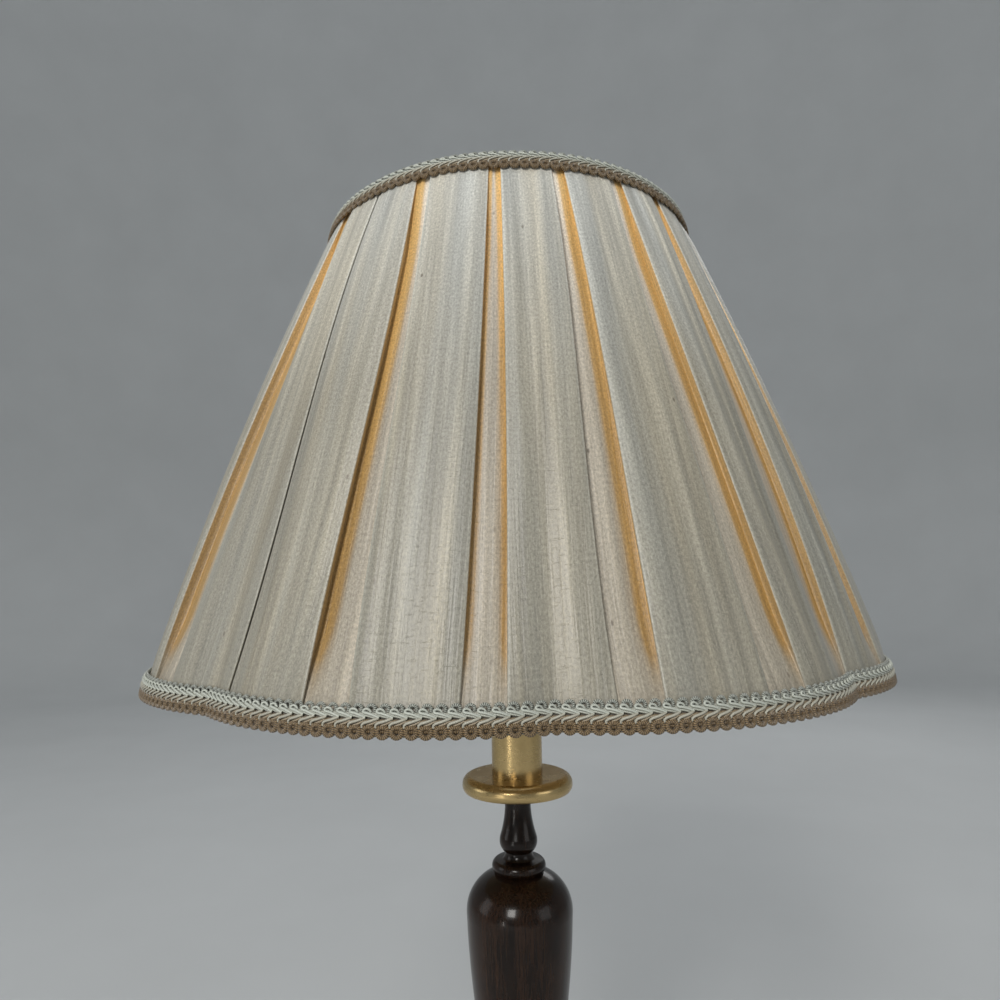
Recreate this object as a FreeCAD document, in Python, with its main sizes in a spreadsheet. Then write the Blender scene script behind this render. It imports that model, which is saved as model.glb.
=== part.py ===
import FreeCAD, Part
import math
import os
import re
import Sketcher

# Candlestick lamp: a turned wooden candlestick on a round foot, a brass drip pan and candle
# tube, a lampholder with its harp, and a box-pleated, eight-lobed empire shade held on the
# harp by a turned finial.  Millimetres, +Z up, origin at the middle of the underside.
# The front of the lamp looks along -Y, and one rib of the shade lies there.

document = FreeCAD.newDocument("candlestick_lamp")
sheet = document.addObject("Spreadsheet::Sheet", "Sizes")

DRIVING_SIZES = [
    ("Foot: radius over the plinth", "foot_radius", 80.0),
    ("Foot: height of its upper face", "foot_top", 40.0),
    ("Foot: radius of the recess underneath", "recess_radius", 16.0),
    ("Foot: height of the recess roof", "recess_top", 20.0),
    ("Felt: thickness", "felt_thickness", 2.0),
    ("Cord bush: height of its axis", "bush_height", 11.0),
    ("Cord bush: radius of the barrel", "bush_radius", 5.5),
    ("Cord bush: radius of the cord's bore", "cord_bore", 3.75),
    ("Rod: outer radius", "rod_radius", 4.9),
    ("Rod: bore radius", "rod_bore", 3.4),
    ("Rod: clearance of the holes round it", "rod_clearance", 0.15),
    ("Column: height of the shoulder above the long baluster", "shoulder_height", 269.7),
    ("Column: largest radius of the baluster", "baluster_radius", 31.0),
    ("Column: largest radius of the small vase", "vase_radius", 11.2),
    ("Column: height of the upper end", "column_top", 322.0),
    ("Pan: radius over the rolled edge", "pan_radius", 32.7),
    ("Pan: height of the flat upper face", "pan_top", 325.3),
    ("Pan: radius of the rolled edge's section", "pan_roll", 4.7),
    ("Pan: thickness of the sheet brass", "pan_sheet", 1.2),
    ("Candle tube: outer radius", "tube_radius", 15.0),
    ("Candle tube: wall", "tube_wall", 0.8),
    ("Candle tube: height of the upper end", "tube_top", 412.0),
    ("Lampholder: radius of the shell", "holder_radius", 18.5),
    ("Lampholder: height of the lower end", "holder_bottom", 415.1),
    ("Lampholder: radius inside the screw shell", "screw_radius", 13.5),
    ("Bulb: largest radius", "bulb_radius", 30.0),
    ("Bulb: height of the contact tip", "bulb_tip", 449.0),
    ("Harp: radius of the wire", "harp_wire", 1.9),
    ("Harp: half width at the feet", "harp_foot", 28.5),
    ("Harp: half width at the bulb", "harp_half_width", 54.0),
    ("Harp: height of the wire over the bulb", "harp_top", 621.0),
    ("Shade: height of the lower edge", "shade_bottom", 386.5),
    ("Shade: height of the upper edge", "shade_top", 653.5),
    ("Shade: radius at the lower edge, on a lobe", "shade_bottom_radius", 203.5),
    ("Shade: radius at the upper edge", "shade_top_radius", 106.0),
    ("Shade: outward bow of the ribs", "shade_bow", 4.2),
    ("Shade: number of ribs and lobes", "rib_count", 8.0),
    ("Shade: number of box pleats", "pleat_count", 22.0),
    ("Shade: depth of a notch, as a part of the radius", "notch_share", 0.049),
    ("Shade: depth of the gap between two pleats", "pleat_depth", 4.5),
    ("Shade: depth of the same gap where the cloth is sewn down", "sewn_depth", 1.3),
    ("Shade: height of the braid", "braid_height", 11.5),
    ("Shade: thickness of the braid", "braid_thickness", 2.8),
    ("Shade: radius of the frame's wire", "frame_wire", 1.8),
]
ALIASES = [alias for _, alias, _ in DRIVING_SIZES]
for row, (meaning, alias, number) in enumerate(DRIVING_SIZES, start=1):
    sheet.set(f"A{row}", meaning)
    sheet.set(f"B{row}", str(number))
    sheet.setAlias(f"B{row}", alias)
document.recompute()


# ---------------------------------------------------------------- sizes, sketches, features

def bound(expression):
    """The expression with each alias written as a cell of the sheet."""
    return re.sub(
        r"[a-z_]+",
        lambda word: f"Sizes.{word[0]}" if word[0] in ALIASES else word[0],
        str(expression),
    )


def size(expression):
    """The number that an expression of the sheet's aliases stands for."""
    return float(sheet.evalExpression(bound(expression)))


def new_body(label):
    """An empty body whose label is the name of the sub-part."""
    body = document.addObject("PartDesign::Body", f"body_{label}")
    body.Label = label
    return body


def new_sketch(body, name, plane, offset=None):
    """A sketch on one of the body's own origin planes, moved along its normal by offset."""
    sketch = body.newObject("Sketcher::SketchObject", f"{body.Label}_{name}")
    support = next(item for item in body.Origin.OriginFeatures if item.Role == plane)
    sketch.AttachmentSupport = [(support, "")]
    sketch.MapMode = "FlatFace"
    if offset is not None:
        sketch.setExpression("AttachmentOffset.Base.z", bound(offset))
    return sketch


def bind(sketch, constraint, expression):
    """Add one constraint and tie its value to the sheet."""
    index = sketch.addConstraint(constraint)
    sketch.setExpression(f"Constraints[{index}]", bound(expression))


def arc_between(start, end, bulge):
    """Arc of radius |bulge|: to the right of the way from start to end when bulge > 0."""
    chord = end - start
    radius = abs(bulge)
    reach = math.sqrt(radius ** 2 - (chord.Length / 2) ** 2)
    left = FreeCAD.Vector(-chord.y, chord.x, 0) / chord.Length
    centre = (start + end) / 2 + left * math.copysign(reach, bulge)
    first, last = (start, end) if bulge > 0 else (end, start)
    from_angle = math.atan2(first.y - centre.y, first.x - centre.x)
    to_angle = math.atan2(last.y - centre.y, last.x - centre.x)
    if to_angle < from_angle:
        to_angle += 2 * math.pi
    circle = Part.Circle(centre, FreeCAD.Vector(0, 0, 1), radius)
    return Part.ArcOfCircle(circle, from_angle, to_angle)


def draw_path(sketch, vertices, closed):
    """Sides through the vertices (x, y) or, where the side that ends there is an arc,
    (x, y, radius): positive bulges to the right of the way, negative to the left."""
    corners = [FreeCAD.Vector(size(vertex[0]), size(vertex[1]), 0) for vertex in vertices]
    first_side = 0 if closed else 1
    ends = []
    for index in range(first_side, len(vertices)):
        start = corners[index - 1]
        bulge = size(vertices[index][2]) if len(vertices[index]) > 2 else 0
        if bulge:
            side = sketch.addGeometry(arc_between(start, corners[index], bulge))
            bind(sketch, Sketcher.Constraint("Radius", side, abs(bulge)), f"abs({vertices[index][2]})")
        else:
            side = sketch.addGeometry(Part.LineSegment(start, corners[index]))
        ends.append((side, 2, 1) if bulge >= 0 else (side, 1, 2))
    for before, after in zip(ends, ends[1:] + ends[:1] if closed else ends[1:]):
        sketch.addConstraint(Sketcher.Constraint("Coincident", before[0], before[1], after[0], after[2]))
    for (side, end, _), vertex, corner in zip(ends, vertices[first_side:], corners[first_side:]):
        place_point(sketch, side, end, vertex, corner)
    if not closed:
        side, _, begin = ends[0]
        place_point(sketch, side, begin, vertices[0], corners[0])


def place_point(sketch, side, end, vertex, corner):
    """Tie one end of a side to its place, measured from the sketch's origin."""
    bind(sketch, Sketcher.Constraint("DistanceX", -1, 1, side, end, corner.x), vertex[0])
    bind(sketch, Sketcher.Constraint("DistanceY", -1, 1, side, end, corner.y), vertex[1])


def draw_circle(sketch, across, up, radius):
    """A circle at a place and of a radius that the sheet gives."""
    centre = FreeCAD.Vector(size(across), size(up), 0)
    circle = sketch.addGeometry(Part.Circle(centre, FreeCAD.Vector(0, 0, 1), size(radius)))
    place_point(sketch, circle, 3, (across, up), centre)
    bind(sketch, Sketcher.Constraint("Radius", circle, size(radius)), radius)


def turned(label, vertices):
    """A body turned about Z from an outline of (radius, height) vertices."""
    body = new_body(label)
    outline = new_sketch(body, "outline", "XZ_Plane")
    draw_path(outline, vertices, closed=True)
    turning = body.newObject("PartDesign::Revolution", f"{label}_turning")
    turning.Profile = outline
    turning.ReferenceAxis = (outline, ["V_Axis"])
    turning.Angle = 360
    return body


def ring(label, inner, outer, bottom, top):
    """A turned ring, tube or disc of rectangular section."""
    return turned(label, [(inner, bottom), (outer, bottom), (outer, top), (inner, top)])


def pad(body, name, sketch, length, midplane=False):
    """Add a prism of the sketch along its normal."""
    feature = body.newObject("PartDesign::Pad", f"{body.Label}_{name}")
    feature.Profile = sketch
    feature.setExpression("Length", bound(length))
    feature.Midplane = midplane
    return feature


def pocket(body, name, sketch, length, along_normal):
    """Cut a prism of the sketch, along its normal or against it."""
    feature = body.newObject("PartDesign::Pocket", f"{body.Label}_{name}")
    feature.Profile = sketch
    feature.setExpression("Length", bound(length))
    feature.Reversed = along_normal
    return feature


def wire_along(body, name, path, section):
    """Add a wire: the section's circle carried along the path."""
    feature = body.newObject("PartDesign::AdditivePipe", f"{body.Label}_{name}")
    feature.Profile = section
    feature.Spine = path
    feature.Transition = "Right corner"
    return feature


def repeated_round(body, features, axis_sketch, count):
    """Repeat features evenly about Z."""
    pattern = body.newObject("PartDesign::PolarPattern", f"{body.Label}_pattern")
    pattern.Originals = features
    pattern.Axis = (axis_sketch, ["N_Axis"])
    pattern.Angle = 360
    pattern.Occurrences = count
    body.Tip = pattern
    return pattern


def mirrored_left(body, features):
    """Repeat features on the other side of the YZ plane."""
    mirror = body.newObject("PartDesign::Mirrored", f"{body.Label}_mirror")
    mirror.Originals = features
    plane = next(item for item in body.Origin.OriginFeatures if item.Role == "YZ_Plane")
    mirror.MirrorPlane = (plane, [""])
    body.Tip = mirror
    return mirror


# ---------------------------------------------------------------- foot and column

rod_hole = "rod_radius + rod_clearance"

felt_pad = document.addObject("Part::Cylinder", "felt_pad")
felt_pad.setExpression("Radius", bound("foot_radius - 4"))
felt_pad.setExpression("Height", bound("felt_thickness"))

foot = turned("foot", [
    ("recess_radius", "felt_thickness"),
    ("foot_radius - 1.5", "felt_thickness"),
    ("foot_radius", "felt_thickness + 1.5"),
    ("foot_radius", 17),
    ("foot_radius - 3", 18),
    ("foot_radius - 3", 25, 4.2),
    ("foot_radius - 7", 25.5),
    ("foot_radius - 7", 27.5),
    ("foot_radius - 34", "foot_top - 4", -34),
    ("foot_radius - 37", "foot_top - 4"),
    ("foot_radius - 40", "foot_top", 3.4),
    (12, "foot_top"),
    (12, "recess_top + 6"),
    (rod_hole, "recess_top + 6"),
    (rod_hole, "recess_top"),
    ("recess_radius", "recess_top"),
])
cord_channel = new_sketch(foot, "cord_channel_outline", "XZ_Plane")
draw_circle(cord_channel, 0, "bush_height", "bush_radius + 0.05")
pocket(foot, "cord_channel", cord_channel, "foot_radius + 1", along_normal=False)

# The bush is turned about Z and then laid along +Y, with its flange on the foot's back.
cord_bush = turned("cord_bush", [
    ("cord_bore", -14),
    ("bush_radius", -14),
    ("bush_radius", 0),
    ("bush_radius + 2.5", 0),
    ("bush_radius + 2.5", 1.2),
    ("bush_radius + 1.3", 2.4, 1.2),
    ("cord_bore + 0.8", 2.4),
    ("cord_bore", 1.6),
])
cord_bush.Placement.Rotation = FreeCAD.Rotation(FreeCAD.Vector(1, 0, 0), -90)
cord_bush.setExpression("Placement.Base.y", bound("foot_radius"))
cord_bush.setExpression("Placement.Base.z", bound("bush_height"))

base_washer = ring("base_washer", rod_hole, 14, "recess_top - 1.6", "recess_top")

nut_blank = document.addObject("Part::Prism", "base_nut_blank")
nut_blank.Polygon = 6
nut_blank.Circumradius = 8.25
nut_blank.Height = 5
nut_bore = document.addObject("Part::Cylinder", "base_nut_bore")
nut_bore.setExpression("Radius", bound("rod_radius + 0.02"))
nut_bore.Height = 5
base_nut = document.addObject("Part::Cut", "base_nut")
base_nut.Base = nut_blank
base_nut.Tool = nut_bore
base_nut.setExpression("Placement.Base.z", bound("recess_top - 6.6"))

threaded_rod = ring("threaded_rod", "rod_bore", "rod_radius", "recess_top - 12", "holder_bottom + 8.9")

column = turned("column", [
    (rod_hole, "foot_top - 13.8"),
    (11.9, "foot_top - 13.8"),
    (11.9, "foot_top"),
    (34, "foot_top"),
    (34, "foot_top + 7", 4.4),
    (31, "foot_top + 8"),
    (17, "foot_top + 32", -26),
    (17, "foot_top + 34"),
    (18, "foot_top + 34.5"),
    (18, "foot_top + 42", 4.2),
    (15.5, "foot_top + 43"),
    (14.5, "foot_top + 52", -36),
    (21.5, "foot_top + 125", -384),
    ("baluster_radius", "shoulder_height - 23", 514),
    ("baluster_radius - 16", "shoulder_height", 22),
    (13.9, "shoulder_height + 0.3"),
    (13.9, "shoulder_height + 7.1", 3.9),
    (9.6, "shoulder_height + 7.6"),
    (8, "shoulder_height + 11.5", -5),
    ("vase_radius", "shoulder_height + 17.5", 7),
    ("vase_radius - 0.3", "shoulder_height + 20", 9),
    (7.7, "shoulder_height + 36.5", -62),
    (7.7, "column_top"),
    (rod_hole, "column_top"),
])

# ---------------------------------------------------------------- pan and candle tube

drip_pan = turned("drip_pan", [
    (rod_hole, "column_top"),
    (9, "column_top"),
    (11, "pan_top - pan_sheet"),
    ("pan_radius - pan_roll", "pan_top - pan_sheet"),
    ("pan_radius - pan_sheet", "pan_top - pan_roll", "pan_roll - pan_sheet"),
    ("pan_radius - 2.35", "pan_top - pan_roll * 1.62", "pan_roll - pan_sheet"),
    ("pan_radius - 1.2", "pan_top - pan_roll * 1.87"),
    ("pan_radius", "pan_top - pan_roll", "pan_roll"),
    ("pan_radius - pan_roll", "pan_top", "pan_roll"),
    (rod_hole, "pan_top"),
])

tube_seat = ring("tube_seat", rod_hole, "tube_radius - tube_wall - 0.1", "pan_top", "pan_top + 4")

candle_tube = ring("candle_tube", "tube_radius - tube_wall", "tube_radius", "pan_top", "tube_top")

tube_cap = turned("tube_cap", [
    (rod_hole, "tube_top - 3"),
    ("tube_radius - tube_wall - 0.1", "tube_top - 3"),
    ("tube_radius - tube_wall - 0.1", "tube_top"),
    ("tube_radius + 0.6", "tube_top"),
    ("tube_radius + 0.6", "tube_top + 0.8"),
    ("tube_radius - 0.1", "tube_top + 1.5", 0.9),
    (rod_hole, "tube_top + 1.5"),
])

# ---------------------------------------------------------------- harp saddle and lampholder

strip = 1.6
saddle_top = "holder_bottom"
saddle = new_body("harp_saddle")
strip_side = new_sketch(saddle, "strip_side", "XZ_Plane")
draw_path(strip_side, [
    (0, f"{saddle_top} - {strip}"),
    ("harp_foot - 4.2", f"{saddle_top} - {strip}"),
    ("harp_foot + 0.8", f"{saddle_top} - {strip} + 5", 5),
    ("harp_foot + 0.8", "holder_bottom + 5.2"),
    ("harp_foot - 0.8", "holder_bottom + 5.2"),
    ("harp_foot - 0.8", f"{saddle_top} - {strip} + 5"),
    ("harp_foot - 4.2", saddle_top, -3.4),
    (0, saddle_top),
], closed=True)
saddle_strip = pad(saddle, "strip", strip_side, 15, midplane=True)
stop_section = new_sketch(saddle, "stop_section", "XY_Plane", "holder_bottom + 4.9")
draw_circle(stop_section, "harp_foot", 0, 2.9)
saddle_stop = pad(saddle, "stop", stop_section, 4)
pin_section = new_sketch(saddle, "pin_section", "XY_Plane", "holder_bottom + 8.9")
draw_circle(pin_section, "harp_foot", 0, 1.7)
saddle_pin = pad(saddle, "pin", pin_section, 11)
mirrored_left(saddle, [saddle_strip, saddle_stop, saddle_pin])
saddle_hole = new_sketch(saddle, "hole_outline", "XY_Plane", f"{saddle_top} + 1")
draw_circle(saddle_hole, 0, 0, rod_hole)
pocket(saddle, "hole", saddle_hole, 5, along_normal=False)

socket_cap = turned("socket_cap", [
    ("rod_radius + 0.02", "holder_bottom"),
    (7.5, "holder_bottom"),
    (7.5, "holder_bottom + 3.5"),
    ("holder_radius - 0.6", "holder_bottom + 13.5", -12),
    ("holder_radius + 1", "holder_bottom + 16", 3),
    ("holder_radius + 1", "holder_bottom + 20.5"),
    ("holder_radius + 0.3", "holder_bottom + 20.5"),
    ("holder_radius + 0.3", "holder_bottom + 16.4"),
    ("holder_radius - 1.3", "holder_bottom + 14.3", -3),
    (7.2, "holder_bottom + 8.9", 11.3),
    ("rod_radius + 0.02", "holder_bottom + 8.9"),
])

switch_height = "holder_bottom + 25.4"
switch_radius = 1.9

# The shell stands in the cap and carries a rolled bead at its mouth.
socket_shell = turned("socket_shell", [
    ("holder_radius - 0.6", "holder_bottom + 17.5"),
    ("holder_radius", "holder_bottom + 17.5"),
    ("holder_radius", "holder_bottom + 56"),
    ("holder_radius", "holder_bottom + 60", 2.4),
    ("holder_radius", "holder_bottom + 62.5"),
    ("holder_radius - 0.6", "holder_bottom + 62.5"),
])
shell_hole = new_sketch(socket_shell, "switch_hole_outline", "XZ_Plane")
draw_circle(shell_hole, 0, switch_height, switch_radius + 0.7)
pocket(socket_shell, "switch_hole", shell_hole, 25, along_normal=True)

socket_liner = ring(
    "socket_liner", "holder_radius - 1.5", "holder_radius - 0.8",
    "holder_bottom + 17.9", "holder_bottom + 61",
)
liner_hole = new_sketch(socket_liner, "switch_hole_outline", "XZ_Plane")
draw_circle(liner_hole, 0, switch_height, switch_radius + 0.7)
pocket(socket_liner, "switch_hole", liner_hole, 25, along_normal=True)

socket_body = turned("socket_body", [
    (0, "holder_bottom + 19"),
    ("holder_radius - 2.2", "holder_bottom + 19"),
    ("holder_radius - 2.2", "bulb_tip - 2.4"),
    (0, "bulb_tip - 2.4"),
])
shaft_bore = new_sketch(socket_body, "shaft_bore_outline", "XZ_Plane", "6.3")
draw_circle(shaft_bore, 0, switch_height, switch_radius + 0.05)
pocket(socket_body, "shaft_bore", shaft_bore, 20, along_normal=True)
screw_holes = new_sketch(socket_body, "screw_holes_outline", "XY_Plane", "holder_bottom + 19")
for side in (-1, 1):
    draw_circle(screw_holes, 11 * side, 0, 1.5)
pocket(socket_body, "screw_holes", screw_holes, 6, along_normal=True)

terminal_screws = new_body("terminal_screws")
screw_heads = new_sketch(terminal_screws, "heads_outline", "XY_Plane", "holder_bottom + 17.2")
screw_shanks = new_sketch(terminal_screws, "shanks_outline", "XY_Plane", "holder_bottom + 19")
draw_circle(screw_heads, 11, 0, 2.8)
draw_circle(screw_shanks, 11, 0, 1.45)
screw_head = pad(terminal_screws, "head", screw_heads, 1.8)
screw_shank = pad(terminal_screws, "shank", screw_shanks, 5)
terminal_screws.AllowCompound = True
mirrored_left(terminal_screws, [screw_head, screw_shank])

centre_contact = ring("centre_contact", 0, 4, "bulb_tip - 2.4", "bulb_tip - 0.4")

screw_shell = turned("screw_shell", [
    (9, "bulb_tip - 2.4"),
    ("screw_radius + 0.6", "bulb_tip - 2.4"),
    ("screw_radius + 0.6", "bulb_tip + 24"),
    ("screw_radius", "bulb_tip + 24"),
    ("screw_radius", "bulb_tip - 1.8"),
    (9, "bulb_tip - 1.8"),
])

# Shaft and knob are turned about Z and then laid along -Y.
switch_shaft = ring("switch_shaft", 0, switch_radius, 6.6, 40)
switch_knob = turned("switch_knob", [
    (switch_radius, 28),
    (3.4, 28),
    (3.8, 31),
    (6.4, 34, -4.5),
    (6.4, 41),
    (4.6, 43.4, 3.2),
    (0, "57.4 - sqrt(14 ^ 2 - 4.6 ^ 2)", 14),
    (0, 40),
    (switch_radius, 40),
])
for turned_part in (switch_shaft, switch_knob):
    turned_part.Placement.Rotation = FreeCAD.Rotation(FreeCAD.Vector(1, 0, 0), 90)
    turned_part.setExpression("Placement.Base.z", bound(switch_height))

# ---------------------------------------------------------------- bulb

bulb_cap = turned("bulb_cap", [
    (0, "bulb_tip"),
    (3.5, "bulb_tip"),
    (8.5, "bulb_tip + 3.5"),
    ("screw_radius - 0.4", "bulb_tip + 5.5"),
    ("screw_radius - 0.4", "bulb_tip + 26"),
    ("screw_radius - 0.8", "bulb_tip + 26"),
    ("screw_radius - 0.8", "bulb_tip + 6"),
    (0, "bulb_tip + 4"),
])

# The glass is a ball on a flared neck; the neck's arc meets both without a corner.
# The ball's lower half is struck from a point 1 mm off the axis, its crown from the axis.
flare = math.radians(50)
glass = 0.8
neck = 14
ball_arc = "(bulb_radius - 1)"
inner_arc = f"(bulb_radius - {1 + glass})"
ball_height = "(bulb_tip + 78)"
flare_radius = f"(1 + {ball_arc} * {math.cos(flare):.5f} - {neck}) / {1 - math.cos(flare):.5f}"
flare_foot = f"{ball_height} - ({ball_arc} + {flare_radius}) * {math.sin(flare):.5f}"
bulb_glass = turned("bulb_glass", [
    (neck - 1.4, "bulb_tip + 26"),
    (neck - 0.6, "bulb_tip + 26"),
    (neck, "bulb_tip + 28"),
    (neck, flare_foot),
    (f"1 + {ball_arc} * {math.cos(flare):.5f}",
     f"{ball_height} - {ball_arc} * {math.sin(flare):.5f}", f"0 - {flare_radius}"),
    ("bulb_radius", ball_height, ball_arc),
    (0, f"{ball_height} + bulb_radius", "bulb_radius"),
    (0, f"{ball_height} + bulb_radius - {glass}"),
    (f"bulb_radius - {glass}", ball_height, f"{glass} - bulb_radius"),
    (f"1 + {inner_arc} * {math.cos(flare):.5f}",
     f"{ball_height} - {inner_arc} * {math.sin(flare):.5f}", f"0 - {inner_arc}"),
    (neck - glass, flare_foot, f"{flare_radius} + {glass}"),
    (neck - glass, "bulb_tip + 28"),
])

bulb_mount = turned("bulb_mount", [
    (0, "bulb_tip + 26.2"),
    (12.2, "bulb_tip + 26.2"),
    (12.2, "bulb_tip + 27"),
    (5, "bulb_tip + 30", -9),
    (3, "bulb_tip + 50"),
    (3, "bulb_tip + 62"),
    (4.5, "bulb_tip + 64"),
    (1, "bulb_tip + 66"),
    (1, "bulb_tip + 78"),
    (0, "bulb_tip + 78"),
])

# ---------------------------------------------------------------- harp, sleeves, swivel, finial

harp = new_body("harp")
harp_shift = "(harp_half_width - harp_foot)"
harp_sway = 32 / math.sin(2 * math.atan(size(harp_shift) / 64))
harp_path = new_sketch(harp, "path", "XZ_Plane")
draw_path(harp_path, [
    ("harp_foot", "holder_bottom + 20"),
    ("harp_foot", "holder_bottom + 37"),
    (f"harp_foot + {harp_shift} / 2", "holder_bottom + 69", -harp_sway),
    ("harp_half_width", "holder_bottom + 101", harp_sway),
    ("harp_half_width", "harp_top - harp_half_width"),
    (0, "harp_top", "harp_half_width"),
], closed=False)
harp_section = new_sketch(harp, "section", "XY_Plane", "holder_bottom + 20")
draw_circle(harp_section, "harp_foot", 0, "harp_wire")
harp_wire = wire_along(harp, "wire", harp_path, harp_section)
ferrule_section = new_sketch(harp, "ferrule_section", "XY_Plane", "holder_bottom + 9.2")
draw_circle(ferrule_section, "harp_foot", 0, 2.9)
harp_ferrule = pad(harp, "ferrule", ferrule_section, 16)
ferrule_bore = new_sketch(harp, "ferrule_bore_outline", "XY_Plane", "holder_bottom + 9.2")
draw_circle(ferrule_bore, "harp_foot", 0, 2.0)
harp_bore = pocket(harp, "ferrule_bore", ferrule_bore, 11.8, along_normal=True)
mirrored_left(harp, [harp_wire, harp_ferrule, harp_bore])
crown_section = new_sketch(harp, "crown_section", "XY_Plane", "harp_top - 5")
draw_circle(crown_section, 0, 0, 6.5)
pad(harp, "crown", crown_section, 10)
crown_bore = new_sketch(harp, "crown_bore_outline", "XY_Plane", "harp_top - 6")
draw_circle(crown_bore, 0, 0, 2.15)
pocket(harp, "crown_bore", crown_bore, 12, along_normal=True)

for label, side in (("harp_sleeve_left", -1), ("harp_sleeve_right", 1)):
    sleeve = turned(label, [
        (3.2, "holder_bottom + 5.9"),
        (4.3, "holder_bottom + 5.9"),
        (4.3, "holder_bottom + 19.5"),
        (3.9, "holder_bottom + 21.9", 6.5),
        (3.2, "holder_bottom + 21.9"),
    ])
    sleeve.setExpression("Placement.Base.x", bound(f"harp_foot * {side}"))

harp_swivel = turned("harp_swivel", [
    (0, "harp_top - 7.3"),
    (2.8, "harp_top - 7.3"),
    (4, "harp_top - 6.3"),
    (4, "harp_top - 5.3"),
    (2.1, "harp_top - 5.3"),
    (2.1, "harp_top + 5.3"),
    (6.4, "harp_top + 5.3"),
    (7, "harp_top + 5.9"),
    (7, "harp_top + 9.1"),
    (6.4, "harp_top + 9.7"),
    (3.1, "harp_top + 9.7"),
    (3.1, "harp_top + 28.4"),
    (2.5, "harp_top + 29"),
    (0, "harp_top + 29"),
])

finial_foot = "(harp_top + 12.3)"
finial = turned("finial", [
    (3.15, finial_foot),
    (7, finial_foot),
    (7, f"{finial_foot} + 2.6", 1.6),
    (5.2, f"{finial_foot} + 3.4"),
    (4.6, f"{finial_foot} + 6.4", -3.4),
    (6.4, f"{finial_foot} + 7.4"),
    (6.4, f"{finial_foot} + 9", 0.9),
    (5, f"{finial_foot} + 10"),
    (7.9, f"{finial_foot} + 17", 9),
    (3.2, f"{finial_foot} + 27", 12),
    (1.7, f"{finial_foot} + 28.6", -2.4),
    (2.8, f"{finial_foot} + 30.6", 2.2),
    (0, f"{finial_foot} + 33.4", 2.8),
    (0, f"{finial_foot} + 19.6"),
    (3.15, f"{finial_foot} + 17.6"),
])

# ---------------------------------------------------------------- the shade's outline

RIBS = round(size("rib_count"))
PLEATS = round(size("pleat_count"))
SHADE_BOTTOM = size("shade_bottom")
SHADE_TOP = size("shade_top")
EDGE = 1.0
COVER_BOTTOM = SHADE_BOTTOM + EDGE
COVER_TOP = SHADE_TOP - EDGE
LOBE_HALF = math.pi / RIBS
TOP_NOTCH_SHARE = 0.06
GAP_BOTTOM = 17.5
GAP_MIDDLE = 12.8
GAP_TOP = 5.0


def rise(height):
    """Share of the shade's height, 0 at the lower edge and 1 at the upper edge."""
    return (height - SHADE_BOTTOM) / (SHADE_TOP - SHADE_BOTTOM)


def cover_radius(height):
    """Radius of the pleats' outer face on the middle of a lobe, along the bowed rib."""
    share = rise(height)
    slope = size("shade_top_radius") - size("shade_bottom_radius")
    bow = 4 * size("shade_bow") * share * (1 - share)
    return size("shade_bottom_radius") + slope * share + bow


def notch_share(height):
    """Depth of the notches at the ribs as a share of the radius: they fade upwards."""
    fading = 1 - (1 - TOP_NOTCH_SHARE) * rise(height)
    return size("notch_share") * fading


def lobe_arc(apex, height):
    """Radius of a lobe's arc and its centre's distance from the axis."""
    kink = apex * (1 - notch_share(height))
    half_chord = kink * math.sin(LOBE_HALF)
    sagitta = apex - kink * math.cos(LOBE_HALF)
    radius = (half_chord ** 2 + sagitta ** 2) / (2 * sagitta)
    return radius, apex - radius


def lobed_point(angle, inset, height):
    """Point at an angle on the eight-lobed outline, set in from the pleats' outer face."""
    radius, centre = lobe_arc(cover_radius(height) - inset, height)
    from_apex = angle % (2 * LOBE_HALF) - LOBE_HALF
    reach = centre * math.cos(from_apex)
    reach += math.sqrt(radius ** 2 - (centre * math.sin(from_apex)) ** 2)
    return FreeCAD.Vector(reach * math.cos(angle), reach * math.sin(angle), height)


def arc_edge(first, last, inset, height):
    """Arc on the lobed outline between two angles of one lobe."""
    middle = (first + last) / 2
    return Part.Arc(*(lobed_point(angle, inset, height) for angle in (first, middle, last))).toShape()


def lobed_wire(inset, height):
    """The plain eight-lobed outline at a height."""
    step = 2 * LOBE_HALF
    return Part.Wire([arc_edge(k * step, (k + 1) * step, inset, height) for k in range(RIBS)])


def gap_width(height):
    """Width of the gap between two pleats: widest at the bottom, nearly closed at the top."""
    share = rise(height)
    curve = 2 * (GAP_BOTTOM + GAP_TOP - 2 * GAP_MIDDLE)
    return GAP_BOTTOM + (GAP_TOP - GAP_BOTTOM - curve) * share + curve * share ** 2


def gap_depth(height):
    """Depth of the gap between two pleats: least where the cloth is sewn to the rings."""
    from_middle = 2 * rise(height) - 1
    return size("pleat_depth") - size("pleat_depth - sewn_depth") * from_middle ** 4


def pleated_wire(height):
    """The cover's outer outline: a raised flat pleat, then a gap with two walls and a floor.

    A pleat's face is two arcs that meet at the rib's kink, or in the middle where it has none.
    """
    step = 2 * math.pi / PLEATS
    half_gap = gap_width(height) / 2 / cover_radius(height)
    depth = gap_depth(height)
    edges = []
    for pleat in range(PLEATS):
        first = pleat * step + half_gap
        last = (pleat + 1) * step - half_gap
        next_first = last + 2 * half_gap
        middle = (first + last) / 2
        kink = 2 * LOBE_HALF * round(middle / (2 * LOBE_HALF))
        meeting = kink if first < kink < last else middle
        edges.append(arc_edge(first, meeting, 0, height))
        edges.append(arc_edge(meeting, last, 0, height))
        corners = [
            lobed_point(last, 0, height),
            lobed_point(last, depth, height),
            lobed_point(next_first, depth, height),
            lobed_point(next_first, 0, height),
        ]
        edges.extend(Part.makeLine(a, b) for a, b in zip(corners, corners[1:]))
    return Part.Wire(edges)


def shade_piece(label, shape):
    """A sub-part whose form neither sketches nor primitives give."""
    piece = document.addObject("Part::Feature", label)
    piece.Shape = shape
    piece.Placement = FreeCAD.Placement()
    return piece


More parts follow.
